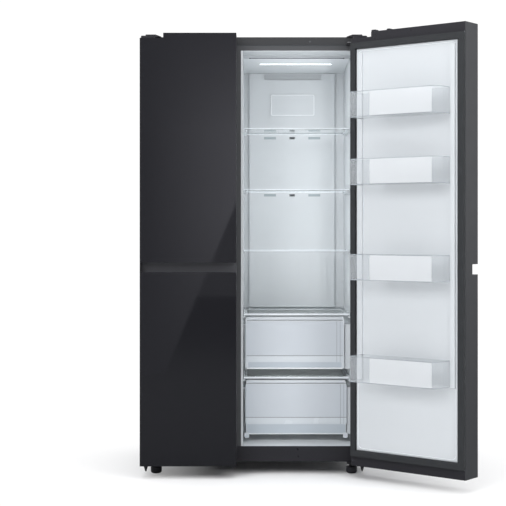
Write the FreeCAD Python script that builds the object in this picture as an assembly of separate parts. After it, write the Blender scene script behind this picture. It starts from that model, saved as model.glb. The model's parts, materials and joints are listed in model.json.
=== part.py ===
"""Side by side refrigerator: steel cabinet, freezer on the left, fridge on the right with its door open.

Design frame: X to the right, Y to the back with the cabinet's front plane at 0, Z up from the floor.
Every solid is moved at the end so that the origin is the bottom centre of the whole box at rest.
Doors are built closed from u (in from the hinge edge), t (out from the inner face) and z.
"""
import FreeCAD
import Part
import math
import os

V = FreeCAD.Vector

# Overall sizes
WIDTH = 913.0
HEIGHT = 1790.0
CABINET_DEPTH = 625.0
SIDE_INSET = 1.0
CABINET_BOTTOM = 51.0
CABINET_TOP = 1780.0
HALF = WIDTH / 2

# Where the doors meet, and the compartments' sides
RIGHT_W = 519.0
DOOR_MEET = 8.0
LEFT_W = WIDTH - RIGHT_W - DOOR_MEET
MEET_X = HALF - RIGHT_W - DOOR_MEET / 2
SIDE_WALL = 56.5
FRIDGE_LEFT = MEET_X + 21.5
FRIDGE_RIGHT = HALF - SIDE_WALL
FREEZER_LEFT = SIDE_WALL - HALF
FREEZER_RIGHT = MEET_X - 20.5
FRIDGE_MID = (FRIDGE_LEFT + FRIDGE_RIGHT) / 2
FREEZER_MID = (FREEZER_LEFT + FREEZER_RIGHT) / 2

# Sheets and walls
STEEL = 1.2
LINER = 1.5
FRAME_STEEL = 1.2
CLEAR = 0.3

# Front plane
COVER_BOTTOM = 1747.0
COVER_DEPTH = 28.0
COVER_WALL = 3.0
SENSOR_X = FRIDGE_RIGHT - 172.0
SENSOR_Z = 1762.0
SENSOR_R = 4.0
SENSOR_OUT = 0.8
OPENING_TOP = 1723.5
OPENING_BOTTOM = 116.0
FLANGE = 8.0
RAIL_DEPTH = 22.0

# Compartments and machine compartment
BACK_WALL = 500.0
STEP_FLOOR = 332.0
STEP_START = 330.0
STEP_END = 410.0
MACHINE_FRONT = 385.0
MACHINE_REAR_START = 470.0
MACHINE_TOP = 285.0
PAN = 2.0

# Doors
GAP = 15.0
DOOR_T = 95.0
DOOR_BOTTOM = 51.5
DOOR_TOP = 1782.0
DOOR_ANGLE = 141.2
HINGE_A = 20.9
HINGE_B = 45.3
PIN_R = 5.0
PIN_CLEAR = 0.08
GLASS = 3.2
PROFILE = 1.8
CAP_H = 38.0
CAP_WALL = 3.0
STEP_DOWN = 20.0
STEP_U = 94.0
HANDLE_Z = 826.0
HANDLE_H = 39.0
HANDLE_DEPTH = 42.0
CHANNEL_WALL = 2.0
GASKET = GAP - CLEAR
GASKET_W = 24.0
GASKET_EDGE = 2.0
GASKET_OUT_Z = 1.5
GASKET_CHAMFER = 11.5
ISLAND_EDGE = 4.0
ISLAND_H = 6.0
DIKE_W = 20.0
DIKE_H = 7.0
DIKE_BOTTOM = 392.0
DIKE_TOP = 1700.0
DIKE_IN = 9.0
CAP_BOSS_R = 12.0
SEAM_U = 130.0
SEAM_W = 1.5
SEAM_D = 1.0
LUGS = ((94.0, 18.0, 7.0), (166.0, 13.0, 5.0))
LUG_T = 26.0

# Door baskets
BASKET_H = 101.0
BASKET_OUT = 105.0
BASKET_WALL = 2.2
BASKET_CLEAR = 0.5
BASKET_SLANT_U = 18.0
BASKET_SLANT_T = 45.0
BASKET_ROUND = 9.0
BASKETS = (400.0, 799.0, 1172.0, 1436.0)

# Shelves, from the front of the shelf trim to its back
SHELF_FRONT = 100.0
SHELF_BACK = 400.0
SHELF_TRIM_H = 7.0
SHELF_GLASS = 4.0
SHELVES = (910.0, 1164.5, 1418.0)
SHELF_SIDE = 3.0
SHELF_LIP = 4.0
SHELF_RAIL = 12.0
RUNNER_SETBACK = 4.0
FREEZER_SHELVES = (800.0, 1090.0, 1380.0)

# Crispers
UPPER_COVER = 638.0
LOWER_COVER = 375.5
COVER_H = 10.0
DRAWER_WALL = 2.5
DRAWER_FRONT = 100.0
DRAWER_PANEL = 4.0
DRAWER_SIDE = 8.0
RIM_OUT = 3.0
RIM_DROP = 30.0
RIM_H = 4.0
RUNNER_H = 8.0
RUNNER_W = 10.0
UPPER_DRAWER = (FRIDGE_LEFT + 10.0, FRIDGE_RIGHT - 26.0, 418.0, 633.0, 470.0)
LOWER_DRAWER = (FRIDGE_LEFT + 13.0, FRIDGE_RIGHT - 19.0, 147.5, 372.0, 318.0)
FREEZER_DRAWER_X = (FREEZER_LEFT + 10.0, FREEZER_RIGHT - 10.0)
SPACER_GAP = 4.0
BIN_LIFT = 4.0
DRAWER_BACK_GAP = 10.0
LEDGE_GAP = 2.0
DRAWER_ROUND = 8.0
GRIP_OUT = 3.0
GRIP_IN = 12.0
GRIP_H = 8.0
PAD_W = 20.0
PAD_SIDE = 8.0
PAD_DROP = 15.0
PAD_H = 22.0
PAD_ROUND = 7.0
COVER_BACK = 490.0

# Duct panel, ceiling panel, lamp and filter cover
DUCT_X = (FRIDGE_LEFT + 25.0, FRIDGE_RIGHT - 41.5)
DUCT_D = 12.0
DUCT_GAP = 3.0
PANEL = 2.0
CEILING_Y = 150.0
CEILING_FRONT = 1712.0
CEILING_REAR = 1689.0
LAMP_X = (FRIDGE_LEFT + 72.0, FRIDGE_RIGHT - 69.0)
LAMP_Y = 270.0
LAMP_D = 16.0
LAMP_T = 6.0
VENT_Z = (1148.0, 1402.0, 1437.0)
VENT_X = tuple((FRIDGE_MID + a, FRIDGE_MID + b) for a, b in ((-132.5, -79.5), (-19.5, 4.5), (64.5, 117.5)))
VENT_H = 11.0
GRILLE_X = (FRIDGE_MID - 132.5, FRIDGE_MID + 121.5)
GRILLE_Z = 1660.0
GRILLE_PITCH = 7.0
GRILLE_BARS = 4
GROOVES = tuple(FRIDGE_MID + across for across in (-105.5, -34.5, 20.5, 69.5, 122.5, 147.5))
GROOVE = 3.0
GROOVE_LIFT = 8.0
GROOVE_DROP = 30.0
FILTER_X = FRIDGE_MID - 5.5
FILTER_Z = 1548.0
FILTER_W = 194.0
FILTER_H = 94.0
FILTER_T = 5.0
FILTER_ROUND = 6.0

# Freezer duct, evaporator and its fan
FREEZER_DUCT = 42.0
FREEZER_SLOT_IN = 40.0
FREEZER_SLOT_UP = 60.0
FREEZER_SLOT_H = 12.0
EVAP_W = 250.0
EVAP_X = FREEZER_MID - 128.5
EVAP_D = 28.0
EVAP_Z = 430.0
EVAP_H = 440.0
EVAP_FINS = 22
EVAP_TUBES = 8
EFAN_X = FREEZER_MID
EFAN_Z = 985.0
EFAN_R = 55.0
EFAN_OUT = 6.0

# Fans and their motors
HUB_R = 17.0
HUB_L = 16.0
FAN_SHAFT = 3.0
SHAFT_IN = 12.0
FAN_BLADES = 5
BLADE_W = 34.0
BLADE_T = 2.0
BLADE_RAKE = 24.0
TIP_GAP = 4.0
MOTOR_R = 16.0
MOTOR_L = 16.0
MOTOR_GAP = 1.0
MOTOR_ARM = 5.0
ARM_LAP = 6.0
MOTOR_ARMS = 3
MOTOR_TURN = 30.0
BLADE_IN = 4.0

# Feet and rollers
FOOT_X = HALF - 56.5
FOOT_Y = 30.0
FOOT_R = 22.5
FOOT_H = 27.0
FOOT_STEM_R = 5.0
ROLLER_R = 25.0
ROLLER_W = 20.0
ROLLER_X = HALF - 86.5
ROLLER_Y = 570.0
AXLE_R = 5.0
SHAFT_CLEAR = 0.05
FOOT_ROUND = 10.0
FOOT_LIFT = 4.0
BOSS_R = 11.0
EAR_T = 3.0
EAR_W = 30.0
EAR_GAP = 1.0
EAR_LOW = 14.0

# Hinges, their cover and bolts
ARM_LEFT = HALF - 63.5
ARM_RIGHT = HALF - 19.5
ARM_EDGE = 15.0
ARM_BACK = 82.0
ARM_T = 4.0
NOSE_LEFT = HALF - 51.5
NOSE_LIFT = 4.0
TOP_PIN = 32.0
TOP_BOLTS = ((HALF - 48.5, 42.0), (HALF - 29.5, 42.0), (HALF - 39.0, 66.0))
STOP_X = HALF - 80.5
STOP_W = 18.0
STOP_D = 12.0
STOP_H = 10.0
PLATE_LEFT = HALF - 78.5
PLATE_BACK = 62.0
PLATE_FRONT = 12.4
PLATE_T = 6.0
BOTTOM_PIN = 28.0
BOTTOM_BOLTS = ((HALF - 18.5, 14.0), (HALF - 18.5, 44.0))
CONE_R = 9.0
CONE_TIP = 2.5
CONE_H = 22.0
BOLT_R = 4.0
HEX_R = 7.0
HEX_H = 3.5
HINGE_COVER_LEFT = HALF - 79.5
HINGE_COVER_BACK = 96.0
HINGE_COVER_WALL = 2.0
HINGE_COVER_ROOM = 2.0
HINGE_COVER_LIFT = 2.0
HINGE_COVER_ROUND = 10.0
NOSE_LID = 1775.0
SLOPE_W = 26.0
SLOPE_H = 9.0

# Compressor and condenser
COMP_X = -205.0
COMP_Y = 545.0
COMP_R = 72.0
COMP_H = 150.0
COMP_EDGE = 6.0
COMP_PLATE = 3.0
COMP_BOX = 22.0
MOUNT_R = 12.0
MOUNT_H = 14.0
COND_X = 80.0
COND_W = 190.0
COND_Y = 490.0
COND_D = 110.0
COND_Z = 85.0
COND_H = 150.0
COND_FINS = 16
COND_TUBES = 5
FIN = 1.2
COIL_R = 4.0
TRAY_H = 22.0
TRAY_WALL = 2.0
TRAY_GAP = 2.0
TRAY_FRONT = 20.0
TRAY_BACK = 15.0
SHROUD_X = 0.0
SHROUD_Y = 545.0
SHROUD_Z = 138.0
SHROUD_T = 4.0
SHROUD_RIM = 8.0
CFAN_R = 66.0
TUBE_R = 4.0
TUBE_BEND = 12.0
TUBE_DROP = 25.0
TUBE_PAST = 55.0
SUCTION_OUT = 12.5
SUCTION_DROP = 60.0
DISCHARGE_OUT = 40.0
DRIER_START = 65.0
TUBE_SHARE = 0.45
TUBE_IN = 0.75
DRIER_R = 9.0
DRIER_L = 60.0
SLOT_L = 150.0
SLOT_ROWS = 8
SLOT_PITCH = 18.0
SLOT_H = 6.0
SLOT_LIFT = 50.0
INLET_X = -360.0
INLET_Z = 110.0
INLET_R = 10.0
INLET_BORE = 5.0
INLET_LIP = 4.0
INLET_DEEP = 8.0
BOARD_X = 300.0
BOARD_W = 90.0
BOARD_D = 40.0
BOARD_H = 140.0
BOARD_LIFT = 40.0

SIDE = HALF - SIDE_INSET
SIDE_IN = SIDE - STEEL
BACK_IN = CABINET_DEPTH - STEEL
TOP_IN = CABINET_TOP - STEEL
BASE_TOP = CABINET_BOTTOM + PAN


def box(x0, x1, y0, y1, z0, z1):
    """A box between two values on each axis, in any order."""
    xs, ys, zs = sorted((x0, x1)), sorted((y0, y1)), sorted((z0, z1))
    return Part.makeBox(xs[1] - xs[0], ys[1] - ys[0], zs[1] - zs[0], V(xs[0], ys[0], zs[0]))


def prism(points, direction):
    """A closed outline of points pushed along a vector."""
    wire = Part.makePolygon(list(points) + [points[0]])
    return Part.Face(wire).extrude(direction)


def prism_x(yz, x0, x1):
    """An outline in Y and Z, pushed along X."""
    return prism([V(x0, y, z) for y, z in yz], V(x1 - x0, 0, 0))


def cylinder(x, y, z, radius, length, axis=V(0, 0, 1)):
    return Part.makeCylinder(radius, length, V(x, y, z), axis)


def fuse(shapes):
    """One clean solid from pieces that touch or overlap."""
    whole = shapes[0]
    if len(shapes) > 1:
        whole = whole.fuse(shapes[1:])
    return whole.removeSplitter()


def round_upright(shape, radius, chosen=lambda x, y: True):
    """Rounds the upright edges whose place the chooser accepts."""
    edges = []
    for edge in shape.Edges:
        a, b = edge.Vertexes[0].Point, edge.Vertexes[-1].Point
        upright = abs(a.x - b.x) < 0.01 and abs(a.y - b.y) < 0.01 and abs(a.z - b.z) > 1
        if upright and chosen(a.x, a.y):
            edges.append(edge)
    return shape.makeFillet(radius, edges)


def tube(points, radius, bend):
    """A round tube along straight runs joined by tangent arcs of one bend radius."""
    edges = []
    start = points[0]
    for before, corner, after in zip(points, points[1:], points[2:]):
        one, two = (before - corner).normalize(), (after - corner).normalize()
        half = one.getAngle(two) / 2
        reach = bend / math.tan(half)
        first, last = corner + one * reach, corner + two * reach
        centre = corner + (one + two).normalize() * (bend / math.sin(half))
        middle = centre + (corner - centre).normalize() * bend
        edges.append(Part.LineSegment(start, first).toShape())
        edges.append(Part.Arc(first, middle, last).toShape())
        start = last
    edges.append(Part.LineSegment(start, points[-1]).toShape())
    path = Part.Wire(edges)
    circle = Part.Wire([Part.makeCircle(radius, points[0], points[1] - points[0])])
    return path.makePipeShell([circle], True, False)


# ---------------------------------------------------------------- cabinet

def step_shift(grow):
    """How far back the step's slope moves when the space grows, so that its wall is as thick as the others."""
    slope = math.atan2(STEP_FLOOR - OPENING_BOTTOM, STEP_END - STEP_START)
    return grow * math.tan(slope / 2)


def compartment(x0, x1, grow):
    """A compartment's space, with its floor stepped up over the machine compartment, grown all round."""
    low, back, top = OPENING_BOTTOM - grow, BACK_WALL + grow, OPENING_TOP + grow
    shift = step_shift(grow)
    profile = [(0, low), (STEP_START + shift, low), (STEP_END + shift, STEP_FLOOR - grow)]
    profile += [(back, STEP_FLOOR - grow), (back, top), (0, top)]
    return prism_x(profile, x0 - grow, x1 + grow)


def front_face():
    """The shell's front flange: stiles, mullion and the strip under the front cover."""
    plate = box(-SIDE, SIDE, 0, FRAME_STEEL, OPENING_BOTTOM - LINER, COVER_BOTTOM)
    for x0, x1 in ((FREEZER_LEFT, FREEZER_RIGHT), (FRIDGE_LEFT, FRIDGE_RIGHT)):
        plate = plate.cut(flange(x0, x1))
    return plate


def cabinet_shell():
    """The folded steel wrapper of both sides and the top, with its front flange."""
    outer = box(-SIDE, SIDE, 0, CABINET_DEPTH - STEEL, CABINET_BOTTOM, CABINET_TOP)
    inner = box(-SIDE_IN, SIDE_IN, 0, CABINET_DEPTH - STEEL, CABINET_BOTTOM, TOP_IN)
    front_cover = box(-SIDE, SIDE, 0, COVER_DEPTH, COVER_BOTTOM, CABINET_TOP)
    return fuse([outer.cut(inner).cut(front_cover), front_face()])


def back_panel():
    return box(-SIDE, SIDE, BACK_IN, CABINET_DEPTH, MACHINE_TOP, CABINET_TOP)


def foam_walls():
    """Convex blocks of foam that meet face to face round both compartments."""
    front = FRAME_STEEL
    left, right = FREEZER_LEFT - LINER, FRIDGE_RIGHT + LINER
    low, top = OPENING_BOTTOM - LINER, OPENING_TOP + LINER
    back = BACK_WALL + LINER
    step_z = STEP_FLOOR - LINER
    s0, s1 = STEP_START + step_shift(LINER), STEP_END + step_shift(LINER)
    under_cover = COVER_BOTTOM
    blocks = []
    for x0, x1 in ((-SIDE_IN, left), (right, SIDE_IN)):
        blocks.append(box(x0, x1, front, BACK_IN, BASE_TOP, under_cover))
    blocks.append(prism_x([(RAIL_DEPTH, BASE_TOP), (MACHINE_FRONT, BASE_TOP), (s0, low), (RAIL_DEPTH, low)],
                          left, right))
    blocks.append(prism_x([(MACHINE_FRONT, BASE_TOP), (MACHINE_REAR_START, MACHINE_TOP),
                           (s1, step_z), (s0, low)], left, right))
    blocks.append(prism_x([(MACHINE_REAR_START, MACHINE_TOP), (BACK_IN, MACHINE_TOP), (BACK_IN, step_z),
                           (s1, step_z)], left, right))
    blocks.append(box(left, right, back, BACK_IN, step_z, top))
    blocks.append(box(left, right, front, BACK_IN, top, under_cover))
    blocks.append(box(-SIDE_IN, SIDE_IN, COVER_DEPTH, BACK_IN, under_cover, TOP_IN))
    m0, m1 = FREEZER_RIGHT + LINER, FRIDGE_LEFT - LINER
    blocks.append(prism_x([(front, low), (s0, low), (s1, step_z), (front, step_z)], m0, m1))
    blocks.append(box(m0, m1, front, back, step_z, top))
    rail_space = box(-SIDE_IN, SIDE_IN, 0, RAIL_DEPTH, CABINET_BOTTOM, low)
    blocks = [block.cut(rail_space) for block in blocks]
    flanges = fuse([flange(*span) for span in ((FREEZER_LEFT, FREEZER_RIGHT), (FRIDGE_LEFT, FRIDGE_RIGHT))])
    return [block.cut(flanges) for block in blocks]


def flange(x0, x1):
    """The front lip of a liner, as a full plate."""
    return box(x0 - FLANGE, x1 + FLANGE, 0, LINER, OPENING_BOTTOM - LINER, OPENING_TOP + LINER)


def liner(x0, x1, ledges):
    """A thin moulded box, open at the front, with its lip and the ledges that carry shelves and drawers."""
    skin = fuse([compartment(x0, x1, LINER), flange(x0, x1)]).cut(compartment(x0, x1, 0))
    return fuse([skin] + ledges)


def side_ledges(x0, x1, width, y0, y1, top):
    """A pair of ledges on two facing walls, with their tops at one height."""
    return [box(wall, wall + inward * width, y0, y1, top - RUNNER_H, top)
            for wall, inward in ((x0, 1), (x1, -1))]


def bottom_rail():
    """A pressed channel across the foot of the cabinet's front."""
    low, high = CABINET_BOTTOM, OPENING_BOTTOM - LINER
    outer = box(-SIDE_IN, SIDE_IN, 0, RAIL_DEPTH, low, high)
    return outer.cut(box(-SIDE_IN + STEEL, SIDE_IN - STEEL, STEEL, RAIL_DEPTH, low + STEEL, high - STEEL))


def top_front_cover():
    """A moulded channel, open at the back, that hides the wiring between the hinges."""
    outer = box(-SIDE, SIDE, 0, COVER_DEPTH, COVER_BOTTOM, CABINET_TOP)
    hollow = box(-SIDE + COVER_WALL, SIDE - COVER_WALL, COVER_WALL, COVER_DEPTH,
                 COVER_BOTTOM + COVER_WALL, CABINET_TOP - COVER_WALL)
    sensor = cylinder(SENSOR_X, 0, SENSOR_Z, SENSOR_R, SENSOR_OUT, V(0, -1, 0))
    return fuse([outer.cut(hollow), sensor])


# ---------------------------------------------------------------- hinges, feet and rollers

def hinge_axis(side):
    """The plan position of a door's hinge pin, side 1 for the right door and -1 for the left."""
    return side * (HALF - HINGE_A), -GAP - HINGE_B


def mirrored(shape, side):
    return shape if side > 0 else shape.mirror(V(0, 0, 0), V(1, 0, 0))


def top_hinge(side):
    """The cranked arm from the cabinet's top down over the door, its pin, and the stop on the front cover."""
    x, y = hinge_axis(1)
    high = CABINET_TOP + ARM_T
    low = DOOR_TOP - STEP_DOWN + NOSE_LIFT
    plate = box(ARM_LEFT, ARM_RIGHT, -ARM_T, ARM_BACK, CABINET_TOP, high)
    for bx, by in TOP_BOLTS:
        plate = plate.cut(cylinder(bx, by, CABINET_TOP, BOLT_R + CLEAR, ARM_T))
    drop = box(NOSE_LEFT, ARM_RIGHT, -ARM_T, 0, low, high)
    outline = [(NOSE_LEFT, 0), (ARM_RIGHT, 0), (x + ARM_EDGE, y + ARM_EDGE), (x + ARM_EDGE, y - ARM_EDGE),
               (x - ARM_EDGE, y - ARM_EDGE), (NOSE_LEFT, y + ARM_EDGE)]
    nose = prism([V(px, py, low) for px, py in outline], V(0, 0, ARM_T))
    nose = round_upright(nose, ARM_EDGE - 2, lambda px, py: py < y)
    base = CABINET_TOP - TOP_PIN
    pin = cylinder(x, y, base, PIN_R, low + ARM_T - base)
    stop = box(STOP_X, STOP_X + STOP_W, -STOP_D, 0, COVER_BOTTOM, COVER_BOTTOM + STOP_H)
    return [mirrored(fuse([plate, drop, nose, pin]), side), mirrored(stop, side)]


def bottom_hinge(side):
    """The plate under the cabinet with its pin up into the door, a cone below it and the foot's boss."""
    x, y = hinge_axis(1)
    top = CABINET_BOTTOM
    outline = [(PLATE_LEFT, PLATE_BACK), (x + ARM_EDGE, PLATE_BACK), (x + ARM_EDGE, y - ARM_EDGE),
               (x - ARM_EDGE, y - ARM_EDGE), (PLATE_LEFT, -PLATE_FRONT)]
    plate = prism([V(px, py, top - PLATE_T) for px, py in outline], V(0, 0, PLATE_T))
    pin = cylinder(x, y, top, PIN_R, BOTTOM_PIN)
    cone = Part.makeCone(CONE_TIP, CONE_R, CONE_H, V(x, y, top - PLATE_T - CONE_H), V(0, 0, 1))
    boss = cylinder(FOOT_X, FOOT_Y, FOOT_H + FOOT_LIFT, BOSS_R, top - PLATE_T - FOOT_H - FOOT_LIFT)
    bore = cylinder(FOOT_X, FOOT_Y, FOOT_H, FOOT_STEM_R + SHAFT_CLEAR, top - FOOT_H)
    whole = fuse([plate, pin, cone, boss]).cut(bore)
    for bx, by in BOTTOM_BOLTS:
        whole = whole.cut(cylinder(bx, by, top - PLATE_T, BOLT_R + CLEAR, PLATE_T))
    return mirrored(whole, side)


def bolt(x, y, z, up, side):
    """A bolt with its shank through a plate and a hexagonal head beyond it."""
    length = ARM_T if up else PLATE_T
    shank = cylinder(x, y, z - length if up else z, BOLT_R, length)
    corners = [V(x + HEX_R * math.cos(math.radians(60 * i)), y + HEX_R * math.sin(math.radians(60 * i)), z)
               for i in range(6)]
    head = prism(corners, V(0, 0, HEX_H if up else -HEX_H))
    return mirrored(fuse([shank, head]), side)


def hinge_bolts():
    bolts = []
    for side in (1, -1):
        bolts += [bolt(x, y, CABINET_TOP + ARM_T, True, side) for x, y in TOP_BOLTS]
        bolts += [bolt(x, y, CABINET_BOTTOM - PLATE_T, False, side) for x, y in BOTTOM_BOLTS]
    return bolts


def hinge_cover(side):
    """A moulded lid over the upper hinge: a low nose over the pin and a higher back on the cabinet's top."""
    x, y = hinge_axis(1)
    around = HINGE_COVER_ROOM + HINGE_COVER_WALL
    floor = DOOR_TOP - STEP_DOWN + HINGE_COVER_LIFT

    def form(inset, behind):
        left, right = HINGE_COVER_LEFT + inset, ARM_RIGHT + around - inset
        front = -ARM_T - around + inset
        back = box(left, right, front, HINGE_COVER_BACK - inset, CABINET_TOP, HEIGHT - inset)
        drop_left = NOSE_LEFT - around + inset
        drop = box(drop_left, right, front, behind, floor, HEIGHT - inset)
        nose_right = x + ARM_EDGE + around - inset
        nose_front = y - ARM_EDGE - around + inset
        nose = box(drop_left, nose_right, nose_front, -CLEAR - inset, floor, NOSE_LID - inset)
        nose = round_upright(nose, HINGE_COVER_ROUND - inset, lambda px, py: py < y)
        return fuse([back, drop, nose])

    corner = [(HINGE_COVER_LEFT - 1, HEIGHT + 1), (HINGE_COVER_LEFT - 1, HEIGHT - SLOPE_H),
              (HINGE_COVER_LEFT + SLOPE_W, HEIGHT + 1)]
    slope = prism([V(px, -HINGE_COVER_BACK, pz) for px, pz in corner], V(0, HINGE_COVER_BACK * 3, 0))
    hollow = form(HINGE_COVER_WALL, 1).cut(slope.translated(V(HINGE_COVER_WALL, 0, -HINGE_COVER_WALL / 2)))
    return mirrored(form(0, -CLEAR).cut(slope).cut(hollow), side)


def front_foot(side):
    """A levelling foot: a disc rounded below, on a threaded stem."""
    disc = cylinder(side * FOOT_X, FOOT_Y, 0, FOOT_R, FOOT_H)
    low = [e for e in disc.Edges if e.BoundBox.ZMax < 0.01]
    disc = disc.makeFillet(FOOT_ROUND, low)
    high = [e for e in disc.Edges if e.BoundBox.ZMin > FOOT_H - 0.01]
    disc = disc.makeFillet(FOOT_ROUND / 4, high)
    stem = cylinder(side * FOOT_X, FOOT_Y, FOOT_H - 1, FOOT_STEM_R, CABINET_BOTTOM - FOOT_H)
    return fuse([disc, stem])


def roller(side):
    start = side * ROLLER_X - ROLLER_W / 2
    wheel = cylinder(start, ROLLER_Y, ROLLER_R, ROLLER_R, ROLLER_W, V(1, 0, 0))
    bore = cylinder(start, ROLLER_Y, ROLLER_R, AXLE_R + SHAFT_CLEAR, ROLLER_W, V(1, 0, 0))
    return wheel.cut(bore)


def base_pan():
    """The steel floor with the ears and fixed axles that carry the rear rollers."""
    parts = [box(-SIDE_IN, SIDE_IN, RAIL_DEPTH, BACK_IN, CABINET_BOTTOM, BASE_TOP)]
    for side in (1, -1):
        for across in (-1, 1):
            x = side * ROLLER_X + across * (ROLLER_W / 2 + EAR_GAP)
            parts.append(box(x, x + across * EAR_T, ROLLER_Y - EAR_W / 2, ROLLER_Y + EAR_W / 2,
                             ROLLER_R - EAR_LOW, CABINET_BOTTOM))
        start = side * ROLLER_X - ROLLER_W / 2 - EAR_GAP - EAR_T
        length = ROLLER_W + 2 * (EAR_GAP + EAR_T)
        parts.append(cylinder(start, ROLLER_Y, ROLLER_R, AXLE_R, length, V(1, 0, 0)))
    return fuse(parts)


# ---------------------------------------------------------------- machine compartment

def compressor():
    """A domed steel shell on a base plate with a terminal box at its side."""
    z = BASE_TOP + MOUNT_H
    plate = box(COMP_X - COMP_R, COMP_X + COMP_R, COMP_Y - COMP_R, COMP_Y + COMP_R, z, z + COMP_PLATE)
    body = cylinder(COMP_X, COMP_Y, z + COMP_PLATE, COMP_R - COMP_EDGE, COMP_H)
    rims = [e for e in body.Edges if e.BoundBox.ZLength < 0.01]
    body = body.makeFillet(COMP_R / 2, rims)
    box_x = COMP_X - COMP_R
    terminal = box(box_x - COMP_BOX, box_x + COMP_R / 2, COMP_Y - COMP_BOX, COMP_Y + COMP_BOX,
                   z + COMP_H / 3, z + COMP_H * 2 / 3)
    return fuse([plate, body, terminal])


def compressor_mounts():
    reach = COMP_R - MOUNT_R
    return [cylinder(COMP_X + sx * reach, COMP_Y + sy * reach, BASE_TOP, MOUNT_R, MOUNT_H)
            for sx in (-1, 1) for sy in (-1, 1)]


def finned_block(x0, x1, y0, y1, z0, z1, fins, tubes, legs=0.0):
    """Plates across X threaded on round tubes, with the end plates longer at the bottom as legs."""
    pitch = (x1 - x0 - FIN) / (fins - 1)
    pieces = []
    for i in range(fins):
        low = z0 - legs if i in (0, fins - 1) else z0
        pieces.append(box(x0 + i * pitch, x0 + i * pitch + FIN, y0, y1, low, z1))
    for i in range(tubes):
        z = z0 + (i + 0.5) * (z1 - z0) / tubes
        pieces.append(cylinder(x0, (y0 + y1) / 2, z, COIL_R, x1 - x0, V(1, 0, 0)))
    return fuse(pieces)


def condenser():
    return finned_block(COND_X, COND_X + COND_W, COND_Y, COND_Y + COND_D, COND_Z, COND_Z + COND_H,
                        COND_FINS, COND_TUBES, COND_Z - BASE_TOP)


def drip_tray():
    """An open tray under the condenser, between its two end plates."""
    inset = FIN + TRAY_GAP
    x0, x1 = COND_X + inset, COND_X + COND_W - inset
    y0, y1 = COND_Y - TRAY_FRONT, COND_Y + COND_D + TRAY_BACK
    outer = box(x0, x1, y0, y1, BASE_TOP, BASE_TOP + TRAY_H)
    return outer.cut(box(x0 + TRAY_WALL, x1 - TRAY_WALL, y0 + TRAY_WALL, y1 - TRAY_WALL,
                         BASE_TOP + TRAY_WALL, BASE_TOP + TRAY_H))


def fan(centre, axis, radius):
    """A hub with raked blades and its own shaft, which runs in the motor's bore."""
    hub = Part.makeCylinder(HUB_R, HUB_L, V(0, 0, 0))
    shaft = Part.makeCylinder(FAN_SHAFT, HUB_L + SHAFT_IN, V(0, 0, 0))
    blades = []
    for i in range(FAN_BLADES):
        root = HUB_R - BLADE_IN
        blade = Part.makeBox(radius - root, BLADE_W, BLADE_T, V(root, -BLADE_W / 2, 0))
        blade.rotate(V(HUB_R, 0, 0), V(1, 0, 0), BLADE_RAKE)
        blade.translate(V(0, 0, HUB_L / 2))
        blade.rotate(V(0, 0, 0), V(0, 0, 1), 360 * i / FAN_BLADES)
        blades.append(blade)
    whole = fuse([hub, shaft] + blades)
    whole.Placement = FreeCAD.Placement(centre, FreeCAD.Rotation(V(0, 0, 1), axis))
    return whole


def motor_on_arms(centre, axis, ring_r):
    """A motor body behind a fan, on arms whose feet come back to the plate round the fan's hole."""
    body = Part.makeCylinder(MOTOR_R, MOTOR_L, V(0, 0, HUB_L + MOTOR_GAP))
    arms = []
    for i in range(MOTOR_ARMS):
        arm = Part.makeBox(ring_r + ARM_LAP, MOTOR_ARM, MOTOR_ARM,
                           V(0, -MOTOR_ARM / 2, HUB_L + MOTOR_GAP + MOTOR_ARM))
        foot = Part.makeBox(ARM_LAP, MOTOR_ARM, HUB_L + MOTOR_GAP + MOTOR_ARM * 2,
                            V(ring_r, -MOTOR_ARM / 2, 0))
        for piece in (arm, foot):
            piece.rotate(V(0, 0, 0), V(0, 0, 1), 360 / MOTOR_ARMS * i + MOTOR_TURN)
            arms.append(piece)
    bore = Part.makeCylinder(FAN_SHAFT + SHAFT_CLEAR, SHAFT_IN, V(0, 0, HUB_L + MOTOR_GAP))
    whole = fuse([body] + arms).cut(bore)
    whole.Placement = FreeCAD.Placement(centre, FreeCAD.Rotation(V(0, 0, 1), axis))
    return whole


def condenser_shroud():
    """The plate between compressor and condenser, with the fan's hole and its motor."""
    half = CFAN_R + SHROUD_RIM
    hole = CFAN_R + TIP_GAP
    plate = box(SHROUD_X, SHROUD_X + SHROUD_T, SHROUD_Y - half, SHROUD_Y + half, BASE_TOP, SHROUD_Z + half)
    plate = plate.cut(cylinder(SHROUD_X, SHROUD_Y, SHROUD_Z, hole, SHROUD_T, V(1, 0, 0)))
    motor = motor_on_arms(V(SHROUD_X - HUB_L / 2, SHROUD_Y, SHROUD_Z), V(1, 0, 0), hole)
    behind = box(SHROUD_X, SHROUD_X + COND_X, 0, CABINET_DEPTH, 0, MACHINE_TOP)
    return fuse([plate, motor.common(behind)])


def condenser_fan():
    return fan(V(SHROUD_X - HUB_L / 2, SHROUD_Y, SHROUD_Z), V(1, 0, 0), CFAN_R)


def machine_cover():
    """The rear cover of the machine compartment, with louvre slots and a hole for the supply inlet."""
    plate = box(-SIDE, SIDE, BACK_IN, CABINET_DEPTH, CABINET_BOTTOM, MACHINE_TOP)
    for x0 in (COMP_X - SLOT_L / 2, COND_X + COND_W / 2 - SLOT_L / 2):
        for i in range(SLOT_ROWS):
            z = BASE_TOP + SLOT_LIFT + i * SLOT_PITCH
            plate = plate.cut(box(x0, x0 + SLOT_L, BACK_IN, CABINET_DEPTH, z, z + SLOT_H))
    return plate.cut(cylinder(INLET_X, BACK_IN, INLET_Z, INLET_R, STEEL, V(0, 1, 0)))


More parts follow.
